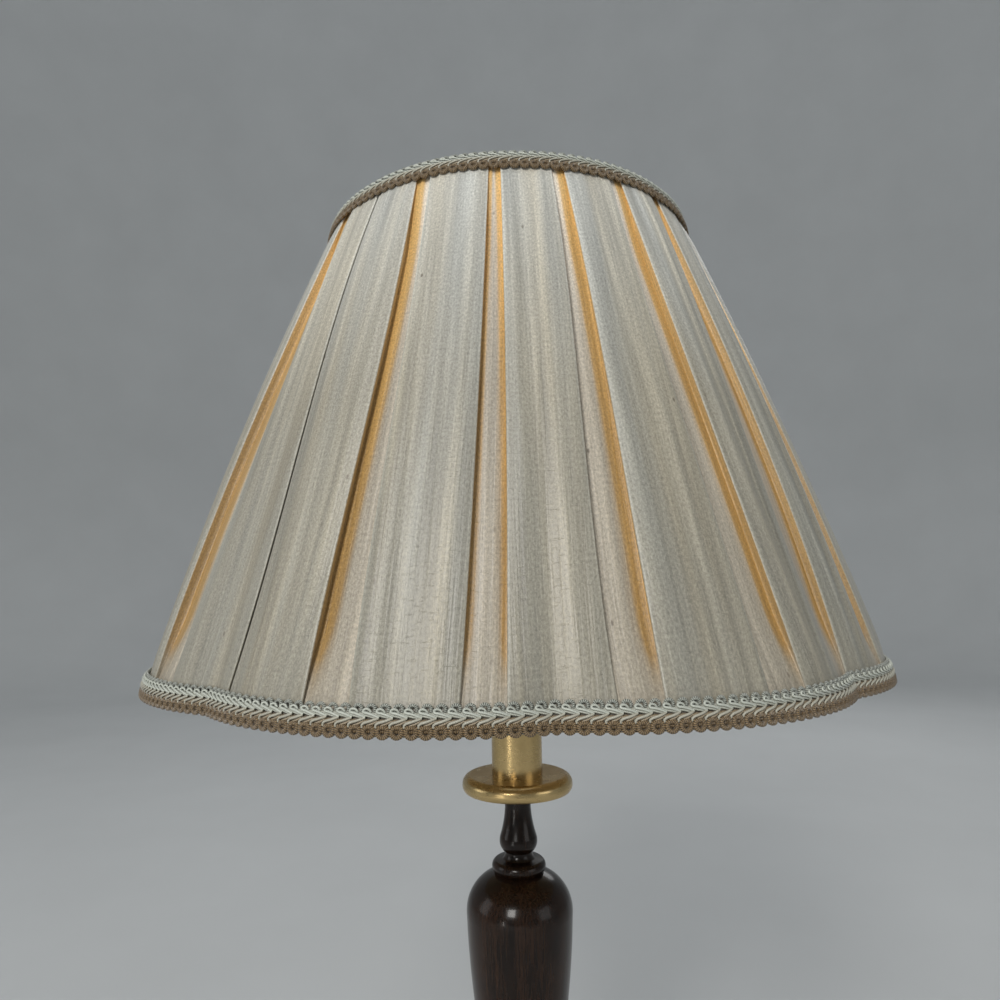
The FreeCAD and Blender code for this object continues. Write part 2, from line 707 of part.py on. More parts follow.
def lobed_skin(outer_inset, inner_inset, bottom, top, spans):
    """A wall between two lobed outlines, bowed like the ribs."""
    def heights(overshoot):
        low = bottom - overshoot
        high = top + overshoot
        return [low + (high - low) * index / spans for index in range(spans + 1)]
    smooth = spans > 1
    outer = Part.makeLoft([lobed_wire(outer_inset, z) for z in heights(0)], True, not smooth)
    inner = Part.makeLoft([lobed_wire(inner_inset, z) for z in heights(1)], True, not smooth)
    return outer.cut(inner)


# ---------------------------------------------------------------- the shade's frame

WIRE_INSET = size("pleat_depth") + 1.1 + size("frame_wire")
RING_HEIGHTS = {
    "shade_ring_bottom": COVER_BOTTOM + 2.2,
    "shade_ring_top": COVER_TOP - 2.2,
}

# Each ring is one arc of wire per lobe, soldered at the kinks.
for label, height in RING_HEIGHTS.items():
    lobe, centre = lobe_arc(cover_radius(height) - WIRE_INSET, height)
    kink = (cover_radius(height) - WIRE_INSET) * (1 - notch_share(height))
    half_sweep = math.degrees(math.asin(kink * math.sin(LOBE_HALF) / lobe))
    members = []
    for index in range(RIBS):
        turn = math.degrees(LOBE_HALF) * (2 * index + 1)
        arc = document.addObject("Part::Torus", f"{label}_arc")
        arc.Radius1 = lobe
        arc.setExpression("Radius2", bound("frame_wire"))
        arc.Angle3 = 2 * half_sweep
        about = FreeCAD.Rotation(FreeCAD.Vector(0, 0, 1), turn)
        place = about.multVec(FreeCAD.Vector(centre, 0, height))
        start = FreeCAD.Rotation(FreeCAD.Vector(0, 0, 1), turn - half_sweep)
        arc.Placement = FreeCAD.Placement(place, start)
        joint = document.addObject("Part::Sphere", f"{label}_solder")
        joint.setExpression("Radius", bound("frame_wire"))
        kink_turn = FreeCAD.Rotation(FreeCAD.Vector(0, 0, 1), turn - math.degrees(LOBE_HALF))
        joint.Placement.Base = kink_turn.multVec(FreeCAD.Vector(kink, 0, height))
        members += [arc, joint]
    frame_ring = document.addObject("Part::MultiFuse", f"{label}_fuse")
    frame_ring.Shapes = members
    frame_ring.Label = label

rib_low = RING_HEIGHTS["shade_ring_bottom"] + size("frame_wire")
rib_high = RING_HEIGHTS["shade_ring_top"] - size("frame_wire")
rib_middle = (rib_low + rib_high) / 2


def rib_radius(height):
    """Distance of a rib's wire from the axis: it follows the notches."""
    return (cover_radius(height) - WIRE_INSET) * (1 - notch_share(height))


rib_chord = FreeCAD.Vector(rib_radius(rib_high) - rib_radius(rib_low), rib_high - rib_low, 0)
rib_sagitta = rib_radius(rib_middle) - (rib_radius(rib_low) + rib_radius(rib_high)) / 2
rib_sagitta *= rib_chord.y / rib_chord.Length
rib_bend = rib_chord.Length ** 2 / 8 / rib_sagitta + rib_sagitta / 2
for index in range(RIBS):
    rib = new_body(f"shade_rib_{index + 1}")
    rib_path = new_sketch(rib, "path", "XZ_Plane")
    draw_path(rib_path, [
        (rib_radius(rib_low), rib_low),
        (rib_radius(rib_high), rib_high, rib_bend),
    ], closed=False)
    rib_section = new_sketch(rib, "section", "XY_Plane", rib_low)
    draw_circle(rib_section, rib_radius(rib_low), 0, "frame_wire - 0.2")
    wire_along(rib, "wire", rib_path, rib_section)
    rib.Placement.Rotation = FreeCAD.Rotation(FreeCAD.Vector(0, 0, 1), 2 * math.degrees(LOBE_HALF) * index)

# The spider: a washer on the harp's swivel and four arms up to the top ring's kinks.
spider = new_body("shade_spider")
hub_bottom = "harp_top + 10"
hub_thickness = 2.0
arm_wire = 1.6
arm_height = f"{hub_bottom} + {hub_thickness + arm_wire - 0.3:.2f}"
arm_end = rib_radius(RING_HEIGHTS["shade_ring_top"]) - size("frame_wire")
hub_section = new_sketch(spider, "hub_section", "XY_Plane", hub_bottom)
draw_circle(hub_section, 0, 0, 14)
draw_circle(hub_section, 0, 0, 3.5)
pad(spider, "hub", hub_section, hub_thickness)
arm_path = new_sketch(spider, "arm_path", "XZ_Plane")
draw_path(arm_path, [
    (8.5, arm_height),
    (17, arm_height),
    (arm_end, RING_HEIGHTS["shade_ring_top"]),
], closed=False)
arm_section = new_sketch(spider, "arm_section", "YZ_Plane", 8.5)
draw_circle(arm_section, 0, arm_height, arm_wire)
arm = wire_along(spider, "arm", arm_path, arm_section)
repeated_round(spider, [arm], hub_section, 4)
spider.Placement.Rotation = FreeCAD.Rotation(FreeCAD.Vector(0, 0, 1), 45)

# ---------------------------------------------------------------- the shade's fabric and braid

cover_spans = 4
section_heights = [
    COVER_BOTTOM + (COVER_TOP - COVER_BOTTOM) * index / cover_spans
    for index in range(cover_spans + 1)
]
cover_outside = Part.makeLoft([pleated_wire(height) for height in section_heights], True, False)
inside_inset = size("pleat_depth") + 0.9
inside_heights = [SHADE_BOTTOM - 1] + section_heights[1:-1] + [SHADE_TOP + 1]
cover_inside = Part.makeLoft([lobed_wire(inside_inset, z) for z in inside_heights], True, False)
shade_piece("shade_cover", cover_outside.cut(cover_inside))

lining_inset = WIRE_INSET + 1.3 * size("frame_wire") + 0.2
lining_top = RING_HEIGHTS["shade_ring_top"] - 6
shade_piece(
    "shade_lining",
    lobed_skin(lining_inset, lining_inset + 0.7, COVER_BOTTOM, lining_top, cover_spans),
)

braid = size("braid_height")
braid_outset = -0.1 - size("braid_thickness")
for label, bottom in (("braid_bottom", SHADE_BOTTOM), ("braid_top", SHADE_TOP - braid)):
    shade_piece(label, lobed_skin(braid_outset, -0.1, bottom, bottom + braid, 1))

# ---------------------------------------------------------------- check and write

document.recompute()

for item in document.Objects:
    if {"Invalid", "Error"} & set(item.State):
        raise RuntimeError(f"{item.Label} failed: {item.State}")
    if item.TypeId == "PartDesign::Pocket":
        cut = item.BaseFeature.Shape.Volume - item.Shape.Volume
        if cut < 1:
            raise RuntimeError(f"{item.Label} cuts nothing")

sub_parts = [felt_pad, base_nut]
sub_parts += document.findObjects("PartDesign::Body")
sub_parts += document.findObjects("Part::MultiFuse")
sub_parts += [item for item in document.Objects if item.TypeId == "Part::Feature"]

os.makedirs("parts", exist_ok=True)
for item in sub_parts:
    if item.Shape.isNull() or not item.Shape.isValid():
        raise RuntimeError(f"{item.Label} has no valid shape")
    print(f"{item.Label:20s} {len(item.Shape.Solids)} solid(s) {item.Shape.Volume:12.1f} mm3")
for item in sub_parts:
    item.Shape.exportStep(f"parts/{item.Label}.step")
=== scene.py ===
"""Looks of a candlestick table lamp with a pleated silk shade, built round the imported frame.

The turned candlestick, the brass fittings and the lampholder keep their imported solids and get
their finishes here. The silk cover, its lining and the two gimp braids are made here and stand
for their plain solids. All lengths are in metres.
"""

import logging
import math
from collections.abc import Sequence
from dataclasses import dataclass, field, replace
from enum import Enum
from typing import Any

import bpy
import numpy as np
from mathutils import Matrix, Vector


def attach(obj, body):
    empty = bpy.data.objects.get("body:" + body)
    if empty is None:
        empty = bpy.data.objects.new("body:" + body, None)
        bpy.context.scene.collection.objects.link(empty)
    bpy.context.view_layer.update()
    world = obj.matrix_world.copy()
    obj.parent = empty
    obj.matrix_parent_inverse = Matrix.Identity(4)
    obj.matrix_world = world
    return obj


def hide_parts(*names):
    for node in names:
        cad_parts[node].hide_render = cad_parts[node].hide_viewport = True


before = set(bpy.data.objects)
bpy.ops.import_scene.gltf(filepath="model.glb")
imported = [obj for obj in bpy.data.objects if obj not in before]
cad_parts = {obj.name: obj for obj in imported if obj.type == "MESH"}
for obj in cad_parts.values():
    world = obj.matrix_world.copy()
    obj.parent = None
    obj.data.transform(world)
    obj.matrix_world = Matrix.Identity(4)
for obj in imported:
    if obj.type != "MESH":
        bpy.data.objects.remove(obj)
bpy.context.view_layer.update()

log = logging.getLogger("candlestick_lamp")

MM = 0.001
Colour = tuple[float, float, float]
Point = tuple[float, float, float]


# ------------------------------------------------------------------ node trees


class Recipe:
    """A material's node tree while it is being put together."""

    def __init__(self, name: str) -> None:
        """Start a material that holds one Principled shader.

        Args:
            name: The material's name.
        """
        self.material = bpy.data.materials.new(name)
        self.material.use_nodes = True
        self.tree = self.material.node_tree
        self.tree.nodes.clear()
        self.shader = self.add("BsdfPrincipled")
        output = self.add("OutputMaterial")
        self.tree.links.new(self.shader.outputs[0], output.inputs["Surface"])

    def add(
        self, kind: str, inputs: dict[Any, Any] | None = None, **settings: Any
    ) -> bpy.types.Node:
        """Add a node.

        Args:
            kind: The node's type without the ShaderNode in front.
            inputs: Values or sockets by input name or number.
            **settings: The node's own properties.

        Returns:
            The new node.
        """
        node = self.tree.nodes.new("ShaderNode" + kind)
        for name, value in settings.items():
            setattr(node, name, value)
        for key, value in (inputs or {}).items():
            self.feed(node.inputs[key], value)
        return node

    def feed(self, socket: bpy.types.NodeSocket, value: Any) -> None:
        """Link a socket into an input, or set the input's value.

        Args:
            socket: The input.
            value: A socket, a number or a tuple of numbers.
        """
        if isinstance(value, bpy.types.NodeSocket):
            self.tree.links.new(value, socket)
        elif isinstance(value, tuple) and socket.type == "RGBA" and len(value) == 3:
            socket.default_value = (*value, 1.0)
        else:
            socket.default_value = value

    def set(self, **inputs: Any) -> None:
        """Feed the shader's inputs, named with underscores for blanks."""
        for name, value in inputs.items():
            self.feed(self.shader.inputs[name.replace("_", " ")], value)

    def place(self) -> bpy.types.NodeSocket:
        """Return the object coordinates."""
        return self.add("TexCoord").outputs["Object"]

    def surface(self, name: str) -> bpy.types.NodeSocket:
        """Return a UV map's coordinates."""
        return self.add("UVMap", uv_map=name).outputs[0]

    def share(self, name: str) -> bpy.types.NodeSocket:
        """Return a float attribute of the mesh."""
        return self.add("Attribute", attribute_name=name).outputs["Fac"]

    def stretch(self, vector: Any, scale: Point, turn: Point = (0, 0, 0)) -> bpy.types.NodeSocket:
        """Scale and turn coordinates.

        Args:
            vector: The coordinates.
            scale: Factors along the three axes.
            turn: Euler angles in radians.

        Returns:
            The new coordinates.
        """
        node = self.add("Mapping", {"Vector": vector, "Scale": scale, "Rotation": turn})
        return node.outputs[0]

    def noise(self, vector: Any, scale: float, detail: float = 3, rough: float = 0.55) -> Any:
        """Return a noise factor.

        Args:
            vector: The coordinates.
            scale: Cycles per metre.
            detail: Octaves.
            rough: Share of each further octave.

        Returns:
            The factor's socket.
        """
        inputs = {"Vector": vector, "Scale": scale, "Detail": detail, "Roughness": rough}
        return self.add("TexNoise", inputs).outputs[0]

    def ramp(self, factor: Any, stops: Sequence[tuple[float, float | Colour]]) -> Any:
        """Map a factor through a colour ramp.

        Args:
            factor: The factor.
            stops: Positions with greys or colours.

        Returns:
            The colour's socket.
        """
        node = self.add("ValToRGB", {0: factor})
        elements = node.color_ramp.elements
        while len(elements) < len(stops):
            elements.new(0.5)
        for element, (position, value) in zip(elements, stops):
            element.position = position
            shade = (value,) * 3 if isinstance(value, (int, float)) else value
            element.color = (*shade, 1.0)
        return node.outputs[0]

    def blend(self, factor: Any, first: Any, second: Any, way: str = "MIX") -> Any:
        """Blend two colours.

        Args:
            factor: Share of the second.
            first: The first colour.
            second: The second colour.
            way: Blender's name of the blend.

        Returns:
            The colour's socket.
        """
        node = self.add("Mix", {0: factor}, data_type="RGBA", blend_type=way)
        self.feed(node.inputs[6], first)
        self.feed(node.inputs[7], second)
        return node.outputs[2]

    def sum(self, way: str, first: Any, second: Any = 0.0, third: Any = 0.0) -> Any:
        """Return a maths node's result.

        Args:
            way: Blender's name of the operation.
            first: The first operand.
            second: The second operand.
            third: The third operand.

        Returns:
            The value's socket.
        """
        return self.add("Math", {0: first, 1: second, 2: third}, operation=way).outputs[0]

    def bump(self, height: Any, depth: float, under: Any = None) -> Any:
        """Raise the surface by a height factor.

        Args:
            height: The factor.
            depth: Metres from factor 0 to 1.
            under: A normal to start from.

        Returns:
            The normal's socket.
        """
        inputs = {"Height": height, "Distance": depth, "Strength": 1.0}
        if under is not None:
            inputs["Normal"] = under
        return self.add("Bump", inputs).outputs[0]


# ------------------------------------------------------------------ finishes


@dataclass(frozen=True)
class MetalFinish:
    """Metal that was turned, drawn or pressed, with tarnish and fine scratches."""

    name: str
    clean: Colour
    tarnish: Colour
    tarnished: float = 0.4
    roughness: float = 0.2
    blotch: float = 60.0
    lathe: float = 0.0
    scratches: float = 1.5e-5

    def make(self) -> bpy.types.Material:
        """Put the node tree together.

        Returns:
            Stain, spots and scratches over the clean metal.
        """
        recipe = Recipe(self.name)
        place = recipe.place()
        cloud = recipe.noise(place, self.blotch, 6, 0.62)
        stain = recipe.ramp(cloud, [(0.42 - 0.2 * self.tarnished, 0.0), (0.78, 1.0)])
        fleck = recipe.noise(place, self.blotch * 14, 3, 0.6)
        spots = recipe.ramp(fleck, [(0.66, 0.0), (0.74, 1.0)])
        share = recipe.sum("MULTIPLY", stain, self.tarnished)
        share = recipe.sum("MULTIPLY_ADD", spots, 0.35 * self.tarnished, share)
        recipe.set(Base_Color=recipe.blend(share, self.clean, self.tarnish))
        recipe.set(Metallic=1.0)
        scuffs = recipe.noise(recipe.stretch(place, (1, 1, 6)), self.blotch * 6, 5, 0.7)
        polish = recipe.sum("MULTIPLY_ADD", share, 0.3, self.roughness)
        recipe.set(Roughness=recipe.sum("MULTIPLY_ADD", scuffs, 0.12, polish))
        hair = recipe.noise(recipe.stretch(place, (9, 1.2, 2), (0.5, 0.9, 0.3)), 260, 2, 0.8)
        normal = recipe.bump(hair, self.scratches)
        if self.lathe:
            rings = recipe.noise(recipe.stretch(place, (4, 4, 900)), 1.6, 2, 0.7)
            normal = recipe.bump(rings, self.lathe, normal)
        recipe.set(Normal=normal)
        return recipe.material


@dataclass(frozen=True)
class TurnedWoodFinish:
    """Dark polished hardwood: grain along the turning's axis under a glossy varnish."""

    name: str = "ebonised_wood"
    dark: Colour = (0.006, 0.0035, 0.0025)
    light: Colour = (0.026, 0.012, 0.006)

    def make(self) -> bpy.types.Material:
        """Put the node tree together.

        Returns:
            Grain and pores under a thin clear coat.
        """
        recipe = Recipe(self.name)
        place = recipe.place()
        along = recipe.stretch(place, (1, 1, 0.07))
        figure = recipe.noise(along, 70, 5, 0.6)
        pores = recipe.noise(recipe.stretch(place, (1, 1, 0.03)), 900, 2, 0.6)
        grain = recipe.ramp(figure, [(0.32, self.dark), (0.62, self.light), (0.8, self.dark)])
        pore = recipe.ramp(pores, [(0.40, 0.45), (0.55, 1.0)])
        rubbed = recipe.ramp(recipe.noise(place, 26, 4, 0.6), [(0.35, 0.75), (0.75, 1.35)])
        colour = recipe.blend(1.0, grain, pore, "MULTIPLY")
        recipe.set(Base_Color=recipe.blend(1.0, colour, rubbed, "MULTIPLY"))
        dull = recipe.noise(place, 45, 5, 0.65)
        recipe.set(Roughness=recipe.sum("MULTIPLY_ADD", dull, 0.16, 0.16))
        recipe.set(Coat_Weight=0.22, Coat_Roughness=0.05, Coat_IOR=1.4, Specular_IOR_Level=0.2)
        ripple = recipe.bump(recipe.noise(place, 140, 2), 3e-5)
        recipe.set(Normal=recipe.bump(pores, 2.5e-5, ripple))
        return recipe.material


@dataclass(frozen=True)
class MouldedFinish:
    """Moulded resin with a faint marbling, rubbed dull on its edges."""

    name: str
    main: Colour
    vein: Colour
    roughness: float = 0.32

    def make(self) -> bpy.types.Material:
        """Put the node tree together.

        Returns:
            Two resins run into each other.
        """
        recipe = Recipe(self.name)
        place = recipe.place()
        swirl = recipe.noise(recipe.stretch(place, (1, 1.6, 0.6)), 180, 5, 0.7)
        veins = recipe.ramp(swirl, [(0.48, 0.0), (0.6, 1.0)])
        marbling = recipe.sum("MULTIPLY", veins, 0.6)
        recipe.set(Base_Color=recipe.blend(marbling, self.main, self.vein))
        rub = recipe.noise(place, 420, 4, 0.7)
        recipe.set(Roughness=recipe.sum("MULTIPLY_ADD", rub, 0.2, self.roughness - 0.1))
        recipe.set(Normal=recipe.bump(rub, 2e-5))
        return recipe.material


@dataclass(frozen=True)
class FibreFinish:
    """Matted or pressed fibres: felt and insulating paper."""

    name: str
    dark: Colour
    light: Colour
    fibre: float = 1400.0
    depth: float = 1.5e-4
    sheen: float = 0.4

    def make(self) -> bpy.types.Material:
        """Put the node tree together.

        Returns:
            Fibres of two tones with a soft pile.
        """
        recipe = Recipe(self.name)
        place = recipe.place()
        mat = recipe.noise(place, self.fibre, 5, 0.7)
        cloud = recipe.noise(place, self.fibre / 22, 4, 0.6)
        mixed = recipe.sum("MULTIPLY_ADD", cloud, 0.5, recipe.sum("MULTIPLY", mat, 0.5))
        recipe.set(Base_Color=recipe.ramp(mixed, [(0.36, self.dark), (0.62, self.light)]))
        recipe.set(Roughness=recipe.sum("MULTIPLY_ADD", mat, 0.12, 0.82))
        recipe.set(Sheen_Weight=self.sheen, Sheen_Roughness=0.5)
        recipe.set(Normal=recipe.bump(mat, self.depth))
        return recipe.material


@dataclass(frozen=True)
class CoatedGlassFinish:
    """A bulb's glass with a soft white coating inside, greyed a little where it has burnt."""

    name: str = "coated_glass"
    white: Colour = (0.80, 0.79, 0.75)
    burnt: Colour = (0.60, 0.57, 0.50)

    def make(self) -> bpy.types.Material:
        """Put the node tree together.

        Returns:
            The white coat under clear, hard glass.
        """
        recipe = Recipe(self.name)
        place = recipe.place()
        cloud = recipe.noise(place, 38, 4, 0.6)
        recipe.set(Base_Color=recipe.ramp(cloud, [(0.35, self.burnt), (0.6, self.white)]))
        recipe.set(Roughness=recipe.sum("MULTIPLY_ADD", recipe.noise(place, 300), 0.08, 0.28))
        recipe.set(Coat_Weight=1.0, Coat_Roughness=0.04, Subsurface_Weight=0.15)
        recipe.set(Subsurface_Scale=0.004)
        recipe.set(Normal=recipe.bump(recipe.noise(place, 60, 2), 6e-5))
        return recipe.material


@dataclass(frozen=True)
class BoundWireFinish:
    """Frame wire wound with cotton tape: slanting turns of a fine plain weave."""

    name: str = "tape_bound_wire"
    light: Colour = (0.64, 0.58, 0.46)
    shade: Colour = (0.36, 0.30, 0.21)

    def make(self) -> bpy.types.Material:
        """Put the node tree together.

        Returns:
            Slanting turns of woven tape.
        """
        recipe = Recipe(self.name)
        place = recipe.place()
        slanting = recipe.stretch(place, (1, 1, 1), (0.4, 0.3, 0.7))
        winding = {"Vector": slanting, "Scale": 48.0, "Distortion": 0.6}
        turns = recipe.add("TexWave", winding, wave_profile="SAW").outputs[1]
        weave = recipe.noise(place, 2600, 2, 0.6)
        lap = recipe.ramp(turns, [(0.0, 0.55), (0.12, 1.0)])
        cloth = recipe.ramp(weave, [(0.36, self.shade), (0.56, self.light)])
        soil = recipe.ramp(recipe.noise(place, 30, 4), [(0.3, 0.82), (0.7, 1.0)])
        colour = recipe.blend(1.0, cloth, lap, "MULTIPLY")
        recipe.set(Base_Color=recipe.blend(1.0, colour, soil, "MULTIPLY"))
        recipe.set(Roughness=recipe.sum("MULTIPLY_ADD", weave, 0.2, 0.7), Sheen_Weight=0.2)
        normal = recipe.bump(weave, 8e-5)
        recipe.set(Normal=recipe.bump(turns, 1.4e-4, normal))
        return recipe.material


@dataclass(frozen=True)
class PleatedSilkFinish:
    """Satin-faced silver-taupe silk with cream gap floors, painted amber shade and glow down in
    the gaps, painted sheen and shade along its folds, painted highlights on the folded edges, and
    painted light that is darker below and brighter and bluer above.
    """

    name: str = "pleated_silk"
    cool: Colour = (0.375, 0.365, 0.315)
    warm: Colour = (0.435, 0.395, 0.305)
    floor: Colour = (0.53, 0.475, 0.385)
    # Amber painted into the gaps as shade and warm glow, deepest along the walls.
    amber_shade: Colour = (0.55, 0.335, 0.11)
    fleck: Colour = (0.09, 0.065, 0.04)
    # Painted highlight colour for the folded edges of the pleats.
    edge: Colour = (0.55, 0.54, 0.46)
    # Painted light by height: darker at the lower edge, brighter and bluer towards the top.
    lower_painted_shade: Colour = (0.72, 0.71, 0.68)
    middle_painted_light: Colour = (0.88, 0.88, 0.88)
    upper_painted_light: Colour = (1.44, 1.50, 1.64)
    slant: float = 0.285

    def make(self) -> bpy.types.Material:
        """Put the node tree together.

        Returns:
            Silk that reads the cover's UV map and its amber shade, gap and edge shares; the amber
            shade is painted shade and glow in the gaps and the edge share is a painted highlight.
        """
        recipe = Recipe(self.name)
        cloth = recipe.surface("Cloth")
        bands = recipe.noise(recipe.stretch(cloth, (1, 0.05, 1)), 60, 2, 0.5)
        base = recipe.ramp(bands, [(0.36, self.cool), (0.64, self.warm)])
        folds = recipe.noise(recipe.stretch(cloth, (1, 0.03, 1)), 190, 3, 0.55)
        # Painted sheen and shade: the colour goes lighter and darker along the same soft folds
        # that the bump raises.
        fold_sheen_and_shade = recipe.ramp(folds, [(0.3, 0.74), (0.5, 0.95), (0.72, 1.28)])
        streaks = recipe.noise(recipe.stretch(cloth, (1, 0.012, 1)), 900, 4, 0.65)
        threads = recipe.ramp(streaks, [(0.3, 0.88), (0.7, 1.12)])
        grain = recipe.noise(recipe.stretch(cloth, (1, 0.62, 1)), 1100, 3, 0.75)
        speckle = recipe.ramp(grain, [(0.3, 0.66), (0.5, 0.98), (0.7, 1.34)])
        # Painted light: darker towards the lower edge and brighter and bluer towards the top, as
        # light falls from above.
        upwards = recipe.add("SeparateXYZ", {0: cloth}).outputs[1]
        rise = recipe.sum("MULTIPLY", upwards, 1 / self.slant)
        painted_light_stops = [(0.0, self.lower_painted_shade), (0.5, self.middle_painted_light), (1.0, self.upper_painted_light)]
        painted_light_by_height = recipe.ramp(rise, painted_light_stops)
        floor = recipe.blend(recipe.share("gap"), base, self.floor)
        # Painted amber shade and glow down in the gaps between the pleats.
        amber_shade_stops = [(0.0, 0.0), (0.3, 0.3), (0.6, 0.9), (1.0, 1.0)]
        amber_shade = recipe.ramp(recipe.share("amber_shade"), amber_shade_stops)
        colour = recipe.blend(amber_shade, floor, self.amber_shade)
        colour = recipe.blend(1.0, colour, fold_sheen_and_shade, "MULTIPLY")
        colour = recipe.blend(1.0, colour, threads, "MULTIPLY")
        # Painted highlight along the folded edges.
        colour = recipe.blend(recipe.share("edge"), colour, self.edge)
        colour = recipe.blend(1.0, colour, painted_light_by_height, "MULTIPLY")
        colour = recipe.blend(1.0, colour, speckle, "MULTIPLY")
        spots = {"Vector": recipe.stretch(cloth, (1, 0.5, 1)), "Scale": 130.0}
        nubs = recipe.add("TexVoronoi", spots)
        chosen = recipe.ramp(nubs.outputs["Distance"], [(0.05, 1.0), (0.10, 0.0)])
        rare = recipe.ramp(recipe.noise(cloth, 47, 2), [(0.5, 0.0), (0.6, 0.75)])
        fleck = recipe.sum("MULTIPLY", chosen, rare)
        recipe.set(Base_Color=recipe.blend(fleck, colour, self.fleck))
        recipe.set(Roughness=recipe.sum("MULTIPLY_ADD", grain, 0.2, 0.30))
        recipe.set(Sheen_Weight=0.10, Sheen_Roughness=0.35, Specular_IOR_Level=0.75)
        slubs = recipe.noise(recipe.stretch(cloth, (0.22, 1, 1)), 900, 2, 0.5)
        normal = recipe.bump(grain, 1.1e-4)
        normal = recipe.bump(streaks, 1.6e-4, normal)
        normal = recipe.bump(folds, 7e-4, normal)
        raised = recipe.ramp(slubs, [(0.6, 0.0), (0.72, 1.0)])
        recipe.set(Normal=recipe.bump(raised, 7e-5, normal))
        return recipe.material


@dataclass(frozen=True)
class LiningFinish:
    """Thin warm lining silk with upright threads."""

    name: str = "lining_silk"
    light: Colour = (0.70, 0.60, 0.43)
    dark: Colour = (0.55, 0.43, 0.27)

    def make(self) -> bpy.types.Material:
        """Put the node tree together.

        Returns:
            Upright threads of two tones.
        """
        recipe = Recipe(self.name)
        cloth = recipe.surface("Cloth")
        bands = recipe.noise(recipe.stretch(cloth, (1, 0.05, 1)), 60, 4, 0.6)
        threads = recipe.noise(recipe.stretch(cloth, (1, 0.03, 1)), 1300, 3, 0.6)
        mixed = recipe.sum("MULTIPLY_ADD", threads, 0.4, recipe.sum("MULTIPLY", bands, 0.6))
        recipe.set(Base_Color=recipe.ramp(mixed, [(0.38, self.dark), (0.6, self.light)]))
        recipe.set(Roughness=recipe.sum("MULTIPLY_ADD", threads, 0.2, 0.4), Sheen_Weight=0.15)
        recipe.set(Normal=recipe.bump(threads, 9e-5))
        return recipe.material


@dataclass(frozen=True)
class GimpFinish:
    """Braid of wound silky cord: silver, with painted shade and warm reflection turning it golden
    brown towards its lower loops, and painted shade in the grooves of its winding.
    """

    name: str = "wound_gimp"
    silver: Colour = (0.52, 0.545, 0.48)
    # Painted shade and warm reflection on the lower loops.
    bronze_painted_shade: Colour = (0.30, 0.205, 0.105)
    winding: float = 0.6 * MM

    def make(self) -> bpy.types.Material:
        """Put the node tree together.

        Returns:
            Cord that reads the braid's UV map and its row and wound shares; the row share sets the
            painted shade of the lower loops.
        """
        recipe = Recipe(self.name)
        cord = recipe.surface("Cord")
        along = recipe.add("SeparateXYZ", {0: cord}).outputs
        lean = recipe.sum("MULTIPLY_ADD", along[0], 1 / self.winding, along[1])
        wave = recipe.sum("SINE", recipe.sum("MULTIPLY", lean, 2 * math.pi))
        turns = recipe.sum("MULTIPLY_ADD", wave, 0.5, 0.5)
        wound = recipe.share("wound")
        depth = recipe.sum("MULTIPLY", turns, wound)
        # Painted shade: the lower rows of cord turn darker and golden brown.
        tint_and_painted_shade = recipe.ramp(recipe.share("row"), [(0.3, self.silver), (0.9, self.bronze_painted_shade)])
        silk = recipe.noise(recipe.stretch(cord, (0.2, 1, 1)), 12, 4, 0.7)
        tone = recipe.ramp(silk, [(0.3, 0.72), (0.7, 1.25)])
        colour = recipe.blend(1.0, tint_and_painted_shade, tone, "MULTIPLY")
        # Painted shade in the grooves between the turns of the winding.
        groove_painted_shade = recipe.ramp(recipe.sum("SUBTRACT", wound, depth), [(0.15, 1.0), (0.9, 0.22)])
        recipe.set(Base_Color=recipe.blend(1.0, colour, groove_painted_shade, "MULTIPLY"))
        recipe.set(Roughness=recipe.sum("MULTIPLY_ADD", silk, 0.2, 0.26))
        recipe.set(Sheen_Weight=0.2, Sheen_Roughness=0.35, Specular_IOR_Level=0.6)
        normal = recipe.bump(silk, 4e-5)
        recipe.set(Normal=recipe.bump(depth, 2.4e-4, normal))
        return recipe.material


class Finish(Enum):
    """The finishes of the lamp's parts."""

    FELT = FibreFinish("base_felt", (0.020, 0.030, 0.018), (0.060, 0.085, 0.050))
    WOOD = TurnedWoodFinish()
    BUSH = MouldedFinish("bush_resin", (0.020, 0.014, 0.010), (0.045, 0.028, 0.018))
    STEEL = MetalFinish("plated_steel", (0.55, 0.56, 0.58), (0.24, 0.22, 0.20), 0.45, 0.3, 90.0)
    POLISHED = MetalFinish(
        "polished_brass", (0.62, 0.46, 0.22), (0.28, 0.18, 0.07), 0.5, 0.16, 34.0, 1e-5
    )
    BRASS = MetalFinish(
        "pressed_brass", (0.72, 0.53, 0.22), (0.34, 0.22, 0.08), 0.4, 0.24, 70.0, 0.0, 3e-5
    )
    PAPER = FibreFinish(
        "insulating_paper", (0.20, 0.13, 0.07), (0.34, 0.23, 0.13), 900.0, 4e-5, 0.0
    )
    RESIN = MouldedFinish("brown_resin", (0.030, 0.014, 0.008), (0.085, 0.036, 0.016), 0.26)
    CONTACT = MetalFinish("contact_brass", (0.74, 0.58, 0.28), (0.36, 0.25, 0.11), 0.5, 0.3, 110.0)
    CAP = MetalFinish("bulb_cap_metal", (0.62, 0.62, 0.60), (0.33, 0.31, 0.27), 0.4, 0.32, 130.0)
    GLASS = CoatedGlassFinish()
    STEM = MouldedFinish("glass_stem", (0.55, 0.56, 0.53), (0.70, 0.71, 0.68), 0.2)
    WIRE = BoundWireFinish()
    SILK = PleatedSilkFinish()
    LINING = LiningFinish()
    GIMP = GimpFinish()


